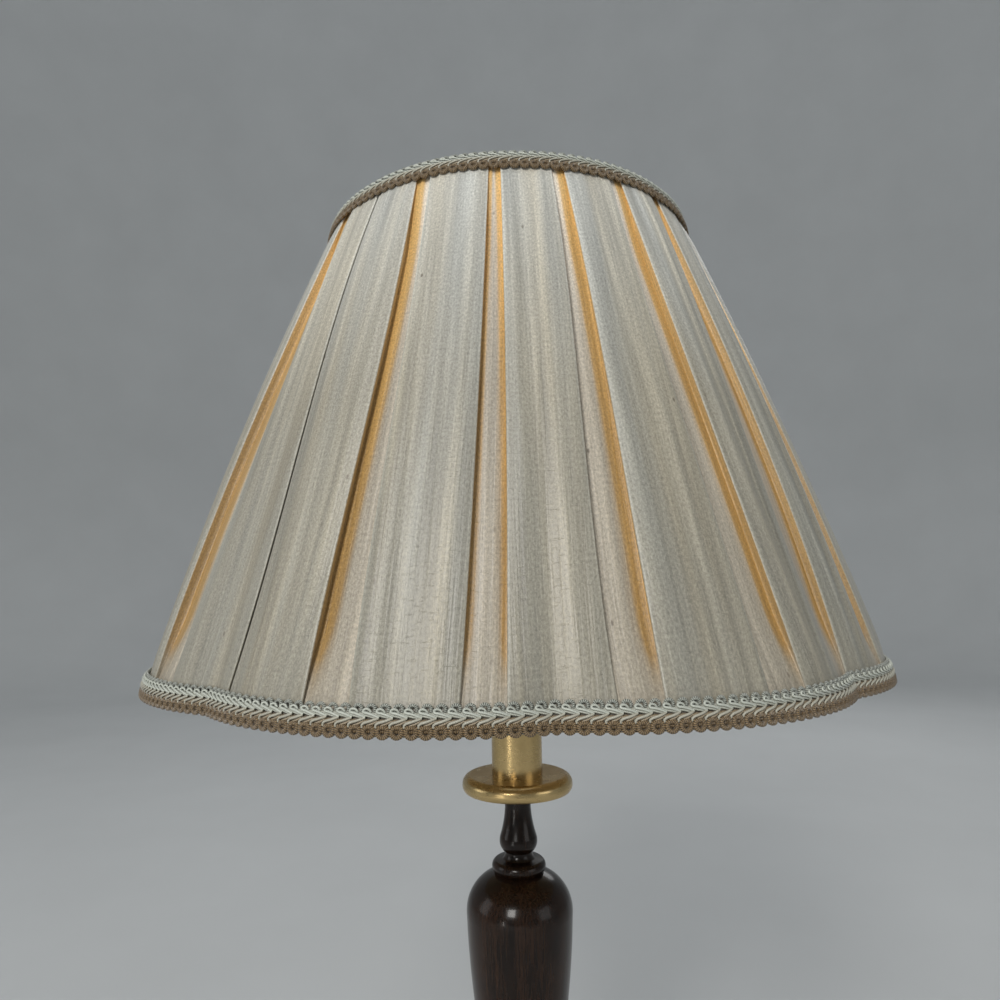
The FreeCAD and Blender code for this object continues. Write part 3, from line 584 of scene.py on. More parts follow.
class Wardrobe:
    """Makes each finish once and hands it out."""

    def __init__(self) -> None:
        """Start with nothing made."""
        self.made: dict[Finish, bpy.types.Material] = {}

    def of(self, finish: Finish) -> bpy.types.Material:
        """Return a finish's material, made on first use.

        Args:
            finish: The finish.

        Returns:
            Its material.
        """
        if finish not in self.made:
            self.made[finish] = finish.value.make()
        return self.made[finish]


# ------------------------------------------------------------------ hands


def clear_hands() -> None:
    """Leave edit mode and deselect everything."""
    if bpy.context.mode != "OBJECT":
        bpy.ops.object.mode_set(mode="OBJECT")
    bpy.ops.object.select_all(action="DESELECT")


def take(piece: bpy.types.Object) -> None:
    """Make a piece the only selected and the active one.

    Args:
        piece: The piece.
    """
    clear_hands()
    piece.select_set(True)
    bpy.context.view_layer.objects.active = piece


def apply_all(piece: bpy.types.Object) -> None:
    """Apply a piece's modifiers in their order.

    Args:
        piece: The piece.
    """
    take(piece)
    for modifier in list(piece.modifiers):
        bpy.ops.object.modifier_apply(modifier=modifier.name)


def dress(piece: bpy.types.Object, material: bpy.types.Material) -> None:
    """Give a piece one material."""
    piece.data.materials.clear()
    piece.data.materials.append(material)


def add_share(mesh: bpy.types.Mesh, name: str, values: np.ndarray) -> None:
    """Store one number per vertex under a name."""
    layer = mesh.attributes.new(name, "FLOAT", "POINT")
    layer.data.foreach_set("value", np.asarray(values, np.float32).ravel())


# ------------------------------------------------------------------ the shade


@dataclass(frozen=True)
class ShadeForm:
    """The outline that the shade's cloth is stretched to: eight lobes between bowed ribs."""

    bottom: float = 386.5 * MM
    top: float = 653.5 * MM
    bottom_radius: float = 203.5 * MM
    top_radius: float = 106.0 * MM
    bow: float = 4.2 * MM
    ribs: int = 8
    pleats: int = 22
    notch: float = 0.049
    notch_fading: float = 0.94
    rounding: float = 3.2 * MM

    def rise(self, height: np.ndarray) -> np.ndarray:
        """Return the share of the shade's height, 0 at its lower edge."""
        return (height - self.bottom) / (self.top - self.bottom)

    def radius(self, height: np.ndarray) -> np.ndarray:
        """Return the radius on the middle of a lobe.

        Args:
            height: Heights.

        Returns:
            Distances from the axis.
        """
        share = self.rise(height)
        slope = self.top_radius - self.bottom_radius
        return self.bottom_radius + slope * share + 4 * self.bow * share * (1 - share)

    def sharp_reach(self, angle: np.ndarray, inset: Any, height: Any) -> np.ndarray:
        """Return the distance from the axis on the outline with sharp kinks at the ribs.

        Args:
            angle: Angles round the axis.
            inset: Distances in from the outer face.
            height: Heights.

        Returns:
            Distances from the axis.
        """
        half = math.pi / self.ribs
        apex = self.radius(height) - inset
        kink = apex * (1 - self.notch * (1 - self.notch_fading * self.rise(height)))
        chord = kink * math.sin(half)
        sagitta = apex - kink * math.cos(half)
        lobe = (chord**2 + sagitta**2) / (2 * sagitta)
        centre = apex - lobe
        turn = np.mod(angle, 2 * half) - half
        return centre * np.cos(turn) + np.sqrt(lobe**2 - (centre * np.sin(turn)) ** 2)

    def reach(self, angle: np.ndarray, inset: Any, height: Any) -> np.ndarray:
        """Return the same distance with the kinks rounded as cloth rounds them.

        Args:
            angle: Angles round the axis.
            inset: Distances in from the outer face.
            height: Heights.

        Returns:
            Distances from the axis.
        """
        window = np.linspace(-1, 1, 7)
        weights = (1 - window**2) + 0.15
        bend = self.rounding / self.radius(height)
        total = sum(
            weight * self.sharp_reach(angle + step * bend, inset, height)
            for step, weight in zip(window, weights)
        )
        return total / weights.sum()

    def gap_width(self, height: np.ndarray) -> np.ndarray:
        """Return the usual width of the gap between two pleats."""
        share = self.rise(height)
        return (17.5 - 6.3 * share - 6.2 * share**2) * MM


@dataclass(frozen=True)
class GapPlan:
    """One gap's measured course: its edges in degrees round the axis and the widths in millimetres
    of its painted amber shade beside each wall.
    """

    left: tuple[float, float, float, float]
    right: tuple[float, float, float, float]
    amber_shade_left: float = 0.0
    amber_shade_right: float = 0.0
    depth: float = 1.0


STATIONS = (0.07, 0.34, 0.64, 0.9)
# Painted amber shade: each front gap carries it on the side where the camera looks into it.
FRONT_GAPS = {
    13: GapPlan((207.6, 207.8, 208.9, 209.6), (215.0, 216.3, 217.2, 215.8), 12.0, 0.0),
    14: GapPlan((229.25, 230.15, 228.45, 227.5), (229.8, 230.7, 229.0, 228.1), 0.0, 0.0, 0.11),
    15: GapPlan((242.9, 243.5, 243.8, 242.2), (248.5, 248.2, 247.8, 246.1), 5.5, 0.0),
    16: GapPlan((260.3, 260.9, 261.3, 261.4), (265.0, 265.2, 265.1, 264.6), 2.5, 3.5),
    17: GapPlan((276.4, 276.2, 277.1, 277.8), (281.4, 281.2, 281.3, 281.2), 0.0, 4.5),
    18: GapPlan((294.0, 293.2, 292.8, 294.1), (300.2, 298.9, 298.0, 298.2), 0.0, 4.5),
    19: GapPlan((309.8, 307.4, 308.6, 310.4), (315.6, 316.0, 315.3, 314.4), 0.0, 3.0),
}


@dataclass
class GapCourse:
    """A gap's edges as angles by row, its depth by row and the widths of its painted amber shade
    in metres.
    """

    left: np.ndarray
    right: np.ndarray
    depth: np.ndarray
    amber_shade_left: float
    amber_shade_right: float
    cream: float

    def turned(self, turn: float) -> "GapCourse":
        """Return the same gap seen a turn further round."""
        return replace(self, left=self.left + turn, right=self.right + turn)


@dataclass
class Track:
    """One column of the cloth from edge to edge: where it runs and how it is coloured.

    Run is the distance across the cloth as the faces on the column's left count it, and
    run_after as those on its right do where the two differ.
    """

    angle: np.ndarray
    depth: np.ndarray
    run: np.ndarray
    # Share of painted amber shade in the gap.
    amber_shade: np.ndarray | float = 0.0
    gap: float = 0.0
    # Share of painted highlight on a folded edge.
    edge: float = 0.0
    run_after: np.ndarray | None = None


def ease(share: np.ndarray) -> np.ndarray:
    """Return a smooth step from 0 to 1."""
    clipped = np.clip(share, 0, 1)
    return clipped * clipped * (3 - 2 * clipped)


@dataclass
class PleatedCover:
    """The silk cover: raised pleats, sewn down under both braids, with gaps between them."""

    form: ShadeForm = field(default_factory=ShadeForm)
    low: float = 387.4 * MM
    high: float = 652.2 * MM
    rows: int = 56
    panel_columns: int = 22
    floor_columns: int = 6
    fold: float = 0.75 * MM
    lift: float = 0.9 * MM
    depth: float = 5.1 * MM
    sewn_depth: float = 1.3 * MM
    undercut: float = 1.2 * MM
    thickness: float = 0.3 * MM
    folds_per_pleat: int = 6
    # The painted amber shade fades in over this height, starting this far above the lower edge.
    amber_shade_rise: float = 34 * MM
    amber_shade_start: float = 6 * MM
    pleat_shift: float = 0.37
    floor_shift: float = 0.19
    seed: int = 11
    heights: np.ndarray = field(init=False)
    rise: np.ndarray = field(init=False)
    radius: np.ndarray = field(init=False)
    depths: np.ndarray = field(init=False)
    ripple: np.ndarray = field(init=False)

    def build(self, wardrobe: Wardrobe) -> bpy.types.Object:
        """Lay out the cloth, give it its thickness and dress it.

        Args:
            wardrobe: Where the material comes from.

        Returns:
            The cover.
        """
        cover = thicken("silk_cover", self.lay_out(), self.thickness, -1.0)
        dress(cover, wardrobe.of(Finish.SILK))
        return cover

    def __post_init__(self) -> None:
        """Work out what all columns share: heights, radius, depth and ripple by row."""
        self.heights = np.linspace(self.low, self.high, self.rows)
        self.rise = self.form.rise(self.heights)
        self.radius = self.form.radius(self.heights)
        deep = self.end_fade(42 * MM, 60 * MM)
        self.depths = self.sewn_depth + (self.depth - self.sewn_depth) * deep
        self.ripple = 0.12 + 0.88 * self.end_fade(22 * MM, 22 * MM)

    def end_fade(self, reach_low: float, reach_high: float) -> np.ndarray:
        """Return 0 at the sewn edges and 1 away from them, by row.

        Args:
            reach_low: Length of the fade at the lower edge.
            reach_high: Length of the fade at the upper edge.

        Returns:
            Shares.
        """
        up = ease((self.heights - self.low) / reach_low)
        down = ease((self.high - self.heights) / reach_high)
        return up * down

    def plan_gap(self, rng: np.random.Generator, number: int) -> GapCourse:
        """Return a gap's course: as measured at the front, with seeded variety elsewhere.

        Args:
            rng: The source of the variety.
            number: The gap's number round the shade.

        Returns:
            The course.
        """
        if number in FRONT_GAPS:
            plan = FRONT_GAPS[number]
            left, right = (
                np.radians(np.polyval(np.polyfit(STATIONS, edge, 3), self.rise))
                for edge in (plan.left, plan.right)
            )
            amber_shade_left, amber_shade_right, deep = plan.amber_shade_left, plan.amber_shade_right, plan.depth
        else:
            middle = 2 * math.pi * number / self.form.pleats + math.radians(rng.uniform(-1.1, 1.1))
            narrow = rng.random() < 0.16
            share = rng.uniform(0.18, 0.3) if narrow else rng.uniform(0.8, 1.35)
            half = share * self.form.gap_width(self.heights) / 2
            left = middle - (half + self.wander(rng)) / self.radius
            right = middle + (half + self.wander(rng)) / self.radius
            # Painted amber shade beside both walls of an open gap, and none in a closed crease.
            amber_shade_left = amber_shade_right = 0.0 if narrow else rng.uniform(2.5, 4.0)
            deep = 0.5 if narrow else 1.0
        depth = self.sewn_depth + (self.depths - self.sewn_depth) * deep
        cream = 1.0 if deep > 0.9 else 0.25
        return GapCourse(left, right, depth, amber_shade_left * MM, amber_shade_right * MM, cream)

    def wander(self, rng: np.random.Generator) -> np.ndarray:
        """Return how far a folded edge strays from its straight line up the shade.

        Args:
            rng: The source of the edge's own waves.

        Returns:
            Metres by row.
        """
        phases = rng.uniform(0, 2 * math.pi, 3)
        waves = sum(
            np.sin(2 * math.pi * turns * self.rise + phase) / turns
            for turns, phase in zip((0.6, 1.3, 2.9), phases)
        )
        return 0.35 * MM * waves

    def panel_relief(self, rng: np.random.Generator, share: np.ndarray) -> np.ndarray:
        """Return how far one pleat's face stands out: a crown and a few long soft folds.

        Args:
            rng: The source of the pleat's own folds.
            share: Places across the pleat from -1 to 1.

        Returns:
            Metres by row and column.
        """
        across = share[None, :]
        up = self.rise[:, None]
        relief = self.lift * (1 - across**4) * (0.75 + 0.25 * np.sin(math.pi * up))
        for _ in range(self.folds_per_pleat):
            centre = rng.uniform(-0.85, 0.85) + rng.uniform(-0.3, 0.3) * (up - 0.5)
            width = rng.uniform(0.09, 0.26)
            sway = rng.uniform(0.2, 0.9) * up + rng.uniform(0, 1)
            swell = 0.6 + 0.4 * np.sin(2 * math.pi * sway)
            height = rng.uniform(0.4, 1.1) * MM * rng.choice([-1, 1])
            relief = relief + height * swell * np.exp(-(((across - centre) / width) ** 2))
        return relief * self.ripple[:, None]

    def floor_tracks(self, gap: GapCourse) -> list[Track]:
        """Return the columns of a gap's floor, without its two feet.

        Args:
            gap: The gap.

        Returns:
            The columns from left to right.
        """
        tuck = self.tuck()
        first = gap.left - (self.fold + tuck) / self.radius
        last = gap.right + (self.fold + tuck) / self.radius
        width = (last - first) * self.radius
        fade = self.amber_shade_fade()
        tracks = []
        for number in range(1, self.floor_columns + 1):
            share = number / (self.floor_columns + 1)
            # Painted amber shade on the floor, strongest beside each wall and fading towards the
            # middle.
            near_left = 1 - ease((share * width - tuck) / (gap.amber_shade_left + 1e-5) - 0.45)
            near_right = 1 - ease(((1 - share) * width - tuck) / (gap.amber_shade_right + 1e-5) - 0.45)
            amber_shade = np.maximum(near_left * (gap.amber_shade_left > 0), near_right * (gap.amber_shade_right > 0))
            swell = 0.4 * MM * math.sin(math.pi * share) * self.ripple
            tracks.append(
                Track(
                    first + (last - first) * share,
                    gap.depth - swell,
                    (share - 0.5) * width,
                    amber_shade * fade,
                    gap.cream,
                )
            )
        return tracks

    def amber_shade_fade(self) -> np.ndarray:
        """Return how the painted amber shade comes in above the lower braid, by row."""
        return ease((self.heights - self.low - self.amber_shade_start) / self.amber_shade_rise)

    def tuck(self) -> np.ndarray:
        """Return how far a gap's foot lies under the pleat beside it, by row."""
        return self.undercut * self.ripple - 0.6 * self.fold

    def side_tracks(
        self, sign: int, edge: np.ndarray, rim: np.ndarray, half: np.ndarray, gap: GapCourse
    ) -> list[Track]:
        """Return the rounded fold, the wall and the foot beside a pleat's face.

        Args:
            sign: 1 for the pleat's right side and -1 for its left.
            edge: Angles at which the face ends.
            rim: How far the face stands out there.
            half: Half the width of the face.
            gap: The gap on that side.

        Returns:
            The columns from the face outwards.
        """
        # Painted amber shade on the fold and wall: full where the gap has it, a quarter elsewhere.
        amber_shade = gap.amber_shade_left if sign > 0 else gap.amber_shade_right
        fade = self.amber_shade_fade()
        shade = (1.0 if amber_shade > 0 else 0.25) * fade * (gap.cream > 0.5)
        tracks = []
        # Each bend of the fold also gets a painted highlight, strongest at the face's edge.
        for bend, share in ((28, 0.0), (58, 0.25), (88, 0.8)):
            turn = math.radians(bend)
            tracks.append(
                Track(
                    edge + sign * self.fold * math.sin(turn) / self.radius,
                    self.fold * (1 - math.cos(turn)) - rim,
                    sign * (half + self.fold * turn),
                    shade * share,
                    share * gap.cream,
                    0.55 * (1 - share),
                )
            )
        length = half + self.fold * 1.54 + gap.depth
        under = edge - sign * self.undercut * self.ripple / self.radius
        tracks.append(Track(under, gap.depth - 0.4 * self.fold, sign * length, shade, gap.cream))
        foot = edge - sign * self.tuck() / self.radius
        floor_half = (gap.right - gap.left) * self.radius / 2 + self.fold + self.tuck()
        tracks.append(Track(foot, gap.depth, sign * (length + self.fold), shade, gap.cream))
        if sign > 0:
            tracks[-1].run_after = -floor_half
        else:
            tracks[-1].run_after = tracks[-1].run
            tracks[-1].run = floor_half
        return tracks

    def pleat_tracks(
        self, rng: np.random.Generator, before: GapCourse, after: GapCourse
    ) -> list[Track]:
        """Return the columns of one pleat from the foot on its left to the foot on its right.

        Args:
            rng: The source of the pleat's own folds.
            before: The gap on its left.
            after: The gap on its right.

        Returns:
            The columns from left to right.
        """
        first = before.right + self.fold / self.radius
        last = after.left - self.fold / self.radius
        middle = (first + last) / 2
        half = (last - first) * self.radius / 2
        across = np.sin(np.linspace(-1, 1, self.panel_columns) * math.pi / 2 * 0.86)
        across /= across[-1]
        relief = self.panel_relief(rng, across)
        face = [
            Track(middle + half * share / self.radius, -relief[:, column], half * share)
            for column, share in enumerate(across)
        ]
        # Painted highlight where the face turns into its folds.
        face[0].edge = face[-1].edge = 0.45
        left = self.side_tracks(-1, first, relief[:, 0], half, before)
        right = self.side_tracks(1, last, relief[:, -1], half, after)
        return left[::-1] + face + right

    def lay_out(self) -> bpy.types.Mesh:
        """Plan every gap and pleat and join them.

        Returns:
            The cloth as one closed band of quads with its UV map and attributes.
        """
        rng = np.random.default_rng(self.seed)
        gaps = [self.plan_gap(rng, number) for number in range(self.form.pleats)]
        gaps.append(gaps[0].turned(2 * math.pi))
        tracks: list[Track] = []
        shifts: list[float] = []
        for number in range(self.form.pleats):
            pleat = self.pleat_tracks(rng, gaps[number], gaps[number + 1])
            floor = self.floor_tracks(gaps[number + 1])
            tracks += pleat + floor
            shift = self.pleat_shift * number
            shifts += [shift] * len(pleat) + [shift + self.floor_shift] * len(floor)
        return self.weave(tracks, np.array(shifts))

    def weave(self, tracks: list[Track], shifts: np.ndarray) -> bpy.types.Mesh:
        """Join the columns into a mesh.

        Args:
            tracks: All columns in their order round the shade.
            shifts: What sets each pleat and floor apart in the UV map.

        Returns:
            The mesh.
        """
        count = len(tracks)
        angle = np.array([track.angle for track in tracks]).T
        depth = np.array([track.depth for track in tracks]).T
        reach = self.form.reach(angle, depth, self.heights[:, None])
        upright = np.broadcast_to(self.heights[:, None], reach.shape)
        points = np.stack([reach * np.cos(angle), reach * np.sin(angle), upright], axis=-1)
        mesh = bpy.data.meshes.new("silk_cover")
        mesh.from_pydata(points.reshape(-1, 3).tolist(), [], band_quads(self.rows, count).tolist())

        slant = run_along(self.heights, self.radius)
        begin = np.array(
            [track.run if track.run_after is None else track.run_after for track in tracks]
        ).T
        end = np.roll(np.array([track.run for track in tracks]).T, -1, axis=1)
        feet = np.array([track.run_after is not None for track in tracks])
        into_floor = feet & (np.roll(shifts, -1) != shifts)
        begin = begin + np.where(into_floor, shifts + self.floor_shift, shifts)
        end = end + np.where(into_floor, shifts + self.floor_shift, shifts)
        level = np.broadcast_to(slant[:, None], begin.shape)
        corners = [
            (begin[:-1], level[:-1]),
            (end[:-1], level[:-1]),
            (end[1:], level[1:]),
            (begin[1:], level[1:]),
        ]
        lay_cloth(mesh, corners)
        # The first and last of these shares paint amber shade in the gaps and highlights on the
        # folded edges.
        for name in ("amber_shade", "gap", "edge"):
            values = [np.broadcast_to(getattr(track, name), self.rows) for track in tracks]
            add_share(mesh, name, np.array(values).T)
        return mesh


def run_along(*lines: np.ndarray) -> np.ndarray:
    """Return the distance run from the first point of a line given by two coordinates."""
    return np.concatenate([[0], np.cumsum(np.hypot(*(np.diff(line) for line in lines)))])


def lay_cloth(mesh: bpy.types.Mesh, corners: list[tuple[np.ndarray, np.ndarray]]) -> None:
    """Give a band of quads its UV map in metres.

    Args:
        mesh: The band.
        corners: For each corner of the quads, its places across and up the cloth.
    """
    coordinates = np.stack([np.stack(corner, -1) for corner in corners], axis=2)
    layer = mesh.uv_layers.new(name="Cloth")
    layer.data.foreach_set("uv", coordinates.astype(np.float32).ravel())


def thicken(name: str, mesh: bpy.types.Mesh, thickness: float, side: float) -> bpy.types.Object:
    """Make a sheet of cloth from its mesh.

    Args:
        name: The sheet's name.
        mesh: The cloth's face.
        thickness: The cloth's thickness.
        side: -1 to thicken behind the face and 1 in front of it.

    Returns:
        The sheet.
    """
    sheet = bpy.data.objects.new(name, mesh)
    bpy.context.scene.collection.objects.link(sheet)
    solid = sheet.modifiers.new("thickness", "SOLIDIFY")
    solid.thickness = thickness
    solid.offset = side
    apply_all(sheet)
    bpy.ops.object.shade_smooth()
    return sheet


def band_quads(rows: int, columns: int) -> np.ndarray:
    """Return the quads of a closed band of points, counted row by row.

    Args:
        rows: Rows of points from edge to edge.
        columns: Points round the band.

    Returns:
        Four indices per quad, seen from outside.
    """
    row, column = np.meshgrid(np.arange(rows - 1), np.arange(columns), indexing="ij")
    following = (column + 1) % columns
    quads = [
        row * columns + column,
        row * columns + following,
        (row + 1) * columns + following,
        (row + 1) * columns + column,
    ]
    return np.stack(quads, axis=-1).reshape(-1, 4)


@dataclass
class Lining:
    """The lining: a thin silk drawn round the frame's inside and turned over both rings."""

    form: ShadeForm = field(default_factory=ShadeForm)
    columns: int = 520
    inset: float = 10.2 * MM
    thickness: float = 0.25 * MM
    gather: float = 0.13 * MM
    girth: float = 2 * math.pi * 0.16
    seed: int = 5

    def build(self, wardrobe: Wardrobe) -> bpy.types.Object:
        """Lay out the lining, give it its thickness and dress it.

        Args:
            wardrobe: Where the material comes from.

        Returns:
            The lining.
        """
        inset, heights = self.profile()
        angle = np.linspace(0, 2 * math.pi, self.columns, endpoint=False)
        pull = np.clip(np.minimum(inset / self.inset, 1), 0, 1) ** 4
        depth = inset[:, None] + self.ripples(angle, heights) * pull[:, None]
        reach = self.form.reach(angle[None, :], depth, heights[:, None])
        upright = np.broadcast_to(heights[:, None], reach.shape)
        points = np.stack([reach * np.cos(angle), reach * np.sin(angle), upright], axis=-1)
        rows = len(heights)
        quads = band_quads(rows, self.columns)[:, ::-1]
        mesh = bpy.data.meshes.new("shade_lining_cloth")
        mesh.from_pydata(points.reshape(-1, 3).tolist(), [], quads.tolist())
        row, column = np.meshgrid(np.arange(rows - 1), np.arange(self.columns), indexing="ij")
        run = run_along(heights, inset)
        begin = column / self.columns * self.girth
        end = (column + 1) / self.columns * self.girth
        corners = [(begin, run[row + 1]), (end, run[row + 1]), (end, run[row]), (begin, run[row])]
        lay_cloth(mesh, corners)
        lining = thicken("shade_lining_cloth", mesh, self.thickness, 1.0)
        dress(lining, wardrobe.of(Finish.LINING))
        return lining

    def profile(self) -> tuple[np.ndarray, np.ndarray]:
        """Draw the lining's section from its lower hem to its upper hem.

        Returns:
            The insets and the heights.
        """
        turn_low = [(0.9, 387.2), (2.8, 387.0), (6.4, 387.0), (8.8, 387.5), (9.9, 389.4)]
        turn_high = [(10.0, 649.2), (9.6, 651.5), (8.2, 652.6), (5.4, 652.8), (1.1, 652.5)]
        body = [(self.inset / MM, height) for height in np.linspace(392.0, 645.8, 30)]
        line = np.array(turn_low + body + turn_high) * MM
        return line[:, 0], line[:, 1]

    def ripples(self, angle: np.ndarray, heights: np.ndarray) -> np.ndarray:
        """Return the fine gathers of the lining.

        Args:
            angle: Angles of the columns.
            heights: Heights of the rows.

        Returns:
            Metres by row and column.
        """
        rng = np.random.default_rng(self.seed)
        rise = np.clip(self.form.rise(heights), 0, 1)
        ripple = np.zeros((len(heights), len(angle)))
        for turns in (47, 71, 104, 133):
            phase = rng.uniform(0, 2 * math.pi)
            sway = rng.uniform(-0.6, 0.6)
            swing = rng.uniform(0.4, 1) * rise + rng.uniform(0, 1)
            swell = 0.6 + 0.4 * np.sin(2 * math.pi * swing)
            wave = np.sin(turns * angle[None, :] + phase + sway * rise[:, None])
            ripple += self.gather * swell[:, None] * wave
        return ripple


@dataclass(frozen=True)
class Strand:
    """One length of cord in a repeat of the braid, in millimetres along, out and up."""

    points: tuple[Point, ...]
    thickness: float
    # Where the cord lies down the braid; lower rows get the painted brown shade.
    row: float
    wound: float
    sides: int = 4


class Edge(Enum):
    """The shade's edges that carry a braid: name and height of the braid's middle."""

    BOTTOM = ("bottom", 392.2 * MM)
    TOP = ("top", 647.75 * MM)


@dataclass
class GimpBraid:
    """A braid round one edge of the shade: wound loops along both sides of a herringbone."""

    edge: Edge
    form: ShadeForm = field(default_factory=ShadeForm)
    pitch: float = 5.0 * MM
    outset: float = 0.5 * MM
    path_points: int = 640

    def strands(self) -> list[Strand]:
        """List the cords of one repeat.

        Returns:
            Arch, ring, the two rows of the herringbone and the cores behind them.
        """
        arch = ((-1.3, 0.8, 3.1), (-1.9, 1.1, 4.6), (0.0, 1.4, 6.3))
        arch += ((1.9, 1.1, 4.6), (1.3, 0.8, 3.1))
        ring = ((0.6, 1.2, -1.9), (-2.0, 1.5, -1.7), (-2.1, 1.1, -4.6), (0.0, 0.8, -5.7))
        ring += ((2.1, 1.1, -4.6), (1.9, 1.4, -1.5), (-0.8, 1.1, -2.0))
        hooked = ((0.3, 1.5, 2.9), (-0.2, 2.0, 4.1), (-2.3, 2.2, 4.3), (-2.8, 2.3, 2.6))
        hooked += ((-0.4, 2.5, 2.6), (1.8, 2.4, 1.7), (3.4, 1.7, 1.2))
        under_hooked = ((-2.9, 1.4, 2.2), (0.3, 2.0, 1.6), (3.0, 1.4, 0.8))
        rising = ((-2.7, 1.2, -2.3), (-3.1, 2.0, -0.9), (0.0, 2.4, -0.5))
        rising += ((2.0, 2.4, 0.4), (3.3, 1.7, 1.0))
        under_rising = ((-2.4, 1.2, -2.0), (0.4, 1.9, -1.5), (2.8, 1.4, 0.0))
        core_above = ((-2.6, 0.6, 2.3), (2.6, 0.6, 2.3))
        core_below = ((-2.6, 0.6, -0.2), (2.6, 0.6, -0.2))
        core_loops = ((-2.6, 0.3, -3.3), (2.6, 0.3, -3.3))
        return [
            Strand(arch, 0.72, 0.0, 1.0, 6),
            Strand(ring, 1.02, 1.0, 1.0, 6),
            Strand(hooked, 0.5, 0.1, 0.15),
            Strand(under_hooked, 0.5, 0.35, 0.2),
            Strand(rising, 0.52, 0.5, 0.15),
            Strand(under_rising, 0.5, 0.75, 0.2),
            Strand(core_above, 1.2, 0.4, 0.3),
            Strand(core_below, 1.2, 0.8, 0.3),
            Strand(core_loops, 1.1, 1.0, 1.0),
        ]

    def build_strand(self, strand: Strand, name: str) -> bpy.types.Object:
        """Draw a strand as a bevelled path and make it a mesh.

        Args:
            strand: The cord.
            name: The new object's name.

        Returns:
            The cord's mesh object.
        """
        drawn = bpy.data.curves.new(name, "CURVE")
        drawn.dimensions = "3D"
        drawn.bevel_depth = strand.thickness * MM
        drawn.bevel_resolution = (strand.sides - 4) // 2
        drawn.resolution_u = 2
        drawn.use_fill_caps = True
        spline = drawn.splines.new("NURBS")
        spline.points.add(len(strand.points) - 1)
        for point, (along, out, up) in zip(spline.points, strand.points):
            point.co = (along * MM, -out * MM, up * MM, 1.0)
        spline.order_u = min(4 if len(strand.points) > 4 else 3, len(strand.points))
        spline.use_endpoint_u = True
        cord = bpy.data.objects.new(name, drawn)
        bpy.context.scene.collection.objects.link(cord)
        take(cord)
        bpy.ops.object.convert(target="MESH")
        cord = bpy.context.view_layer.objects.active
        self.wrap(cord.data, strand)
        return cord

    def wrap(self, mesh: bpy.types.Mesh, strand: Strand) -> None:
        """Lay the cord's UV map and its row on the mesh.

        Args:
            mesh: The cord's mesh, ring after ring.
            strand: The cord.
        """
        sides = strand.sides
        points = np.array([vertex.co for vertex in mesh.vertices])
        rings = points.reshape(-1, sides, 3).mean(axis=1)
        run = np.concatenate([[0], np.cumsum(np.linalg.norm(np.diff(rings, axis=0), axis=1))])
        while mesh.uv_layers:
            mesh.uv_layers.remove(mesh.uv_layers[0])
        layer = mesh.uv_layers.new(name="Cord")
        for face in mesh.polygons:
            spots = [mesh.loops[index].vertex_index for index in face.loop_indices]
            around = [spot % sides for spot in spots]
            wraps = len(spots) == 4 and max(around) - min(around) > 1
            for index, spot, place in zip(face.loop_indices, spots, around):
                turn = 1.0 if wraps and place == 0 else place / sides
                layer.data[index].uv = (run[spot // sides], turn)
        add_share(mesh, "row", np.full(len(points), strand.row))
        add_share(mesh, "wound", np.full(len(points), strand.wound))

    def draw_path(self) -> tuple[bpy.types.Object, float]:
        """Draw the line that the braid follows.

        Returns:
            The closed path and its length.
        """
        height = self.edge.value[1]
        angle = np.linspace(0, 2 * math.pi, self.path_points, endpoint=False)
        reach = self.form.reach(angle, -self.outset, height)
        drawn = bpy.data.curves.new("braid_path", "CURVE")
        drawn.dimensions = "3D"
        drawn.twist_mode = "Z_UP"
        spline = drawn.splines.new("POLY")
        spline.points.add(self.path_points - 1)
        upright = np.full_like(reach, height)
        spots = np.stack([reach * np.cos(angle), reach * np.sin(angle), upright], -1)
        for point, spot in zip(spline.points, spots):
            point.co = (*spot, 1.0)
        spline.use_cyclic_u = True
        path = bpy.data.objects.new("braid_path", drawn)
        bpy.context.scene.collection.objects.link(path)
        length = float(np.linalg.norm(spots - np.roll(spots, 1, axis=0), axis=1).sum())
        return path, length

    def lean(self) -> float:
        """Measure how the shade leans in at the braid.

        Returns:
            The angle off the vertical.
        """
        height = self.edge.value[1]
        reach = 4 * MM
        fall = self.form.radius(height - reach) - self.form.radius(height + reach)
        return math.atan2(float(fall), 2 * reach)

    def build(self, wardrobe: Wardrobe) -> bpy.types.Object:
        """Build one repeat, run it round the edge and dress it.

        Args:
            wardrobe: Where the material comes from.

        Returns:
            The braid.
        """
        name = f"gimp_{self.edge.value[0]}"
        cords = [
            self.build_strand(strand, f"{name}_{number}")
            for number, strand in enumerate(self.strands())
        ]
        clear_hands()
        for cord in cords:
            cord.select_set(True)
        bpy.context.view_layer.objects.active = cords[0]
        bpy.ops.object.join()
        braid = bpy.context.view_layer.objects.active
        braid.name = name
        braid.data.transform(Matrix.Rotation(-self.lean(), 4, "X"))
        path, length = self.draw_path()
        count = round(length / self.pitch)
        repeat = braid.modifiers.new("repeat", "ARRAY")
        repeat.count = count
        repeat.use_relative_offset = False
        repeat.use_constant_offset = True
        repeat.constant_offset_displace = (length / count, 0, 0)
        bend = braid.modifiers.new("bend", "CURVE")
        bend.object = path
        apply_all(braid)
        bpy.data.objects.remove(path)
        bpy.ops.object.shade_smooth()
        dress(braid, wardrobe.of(Finish.GIMP))
        return braid


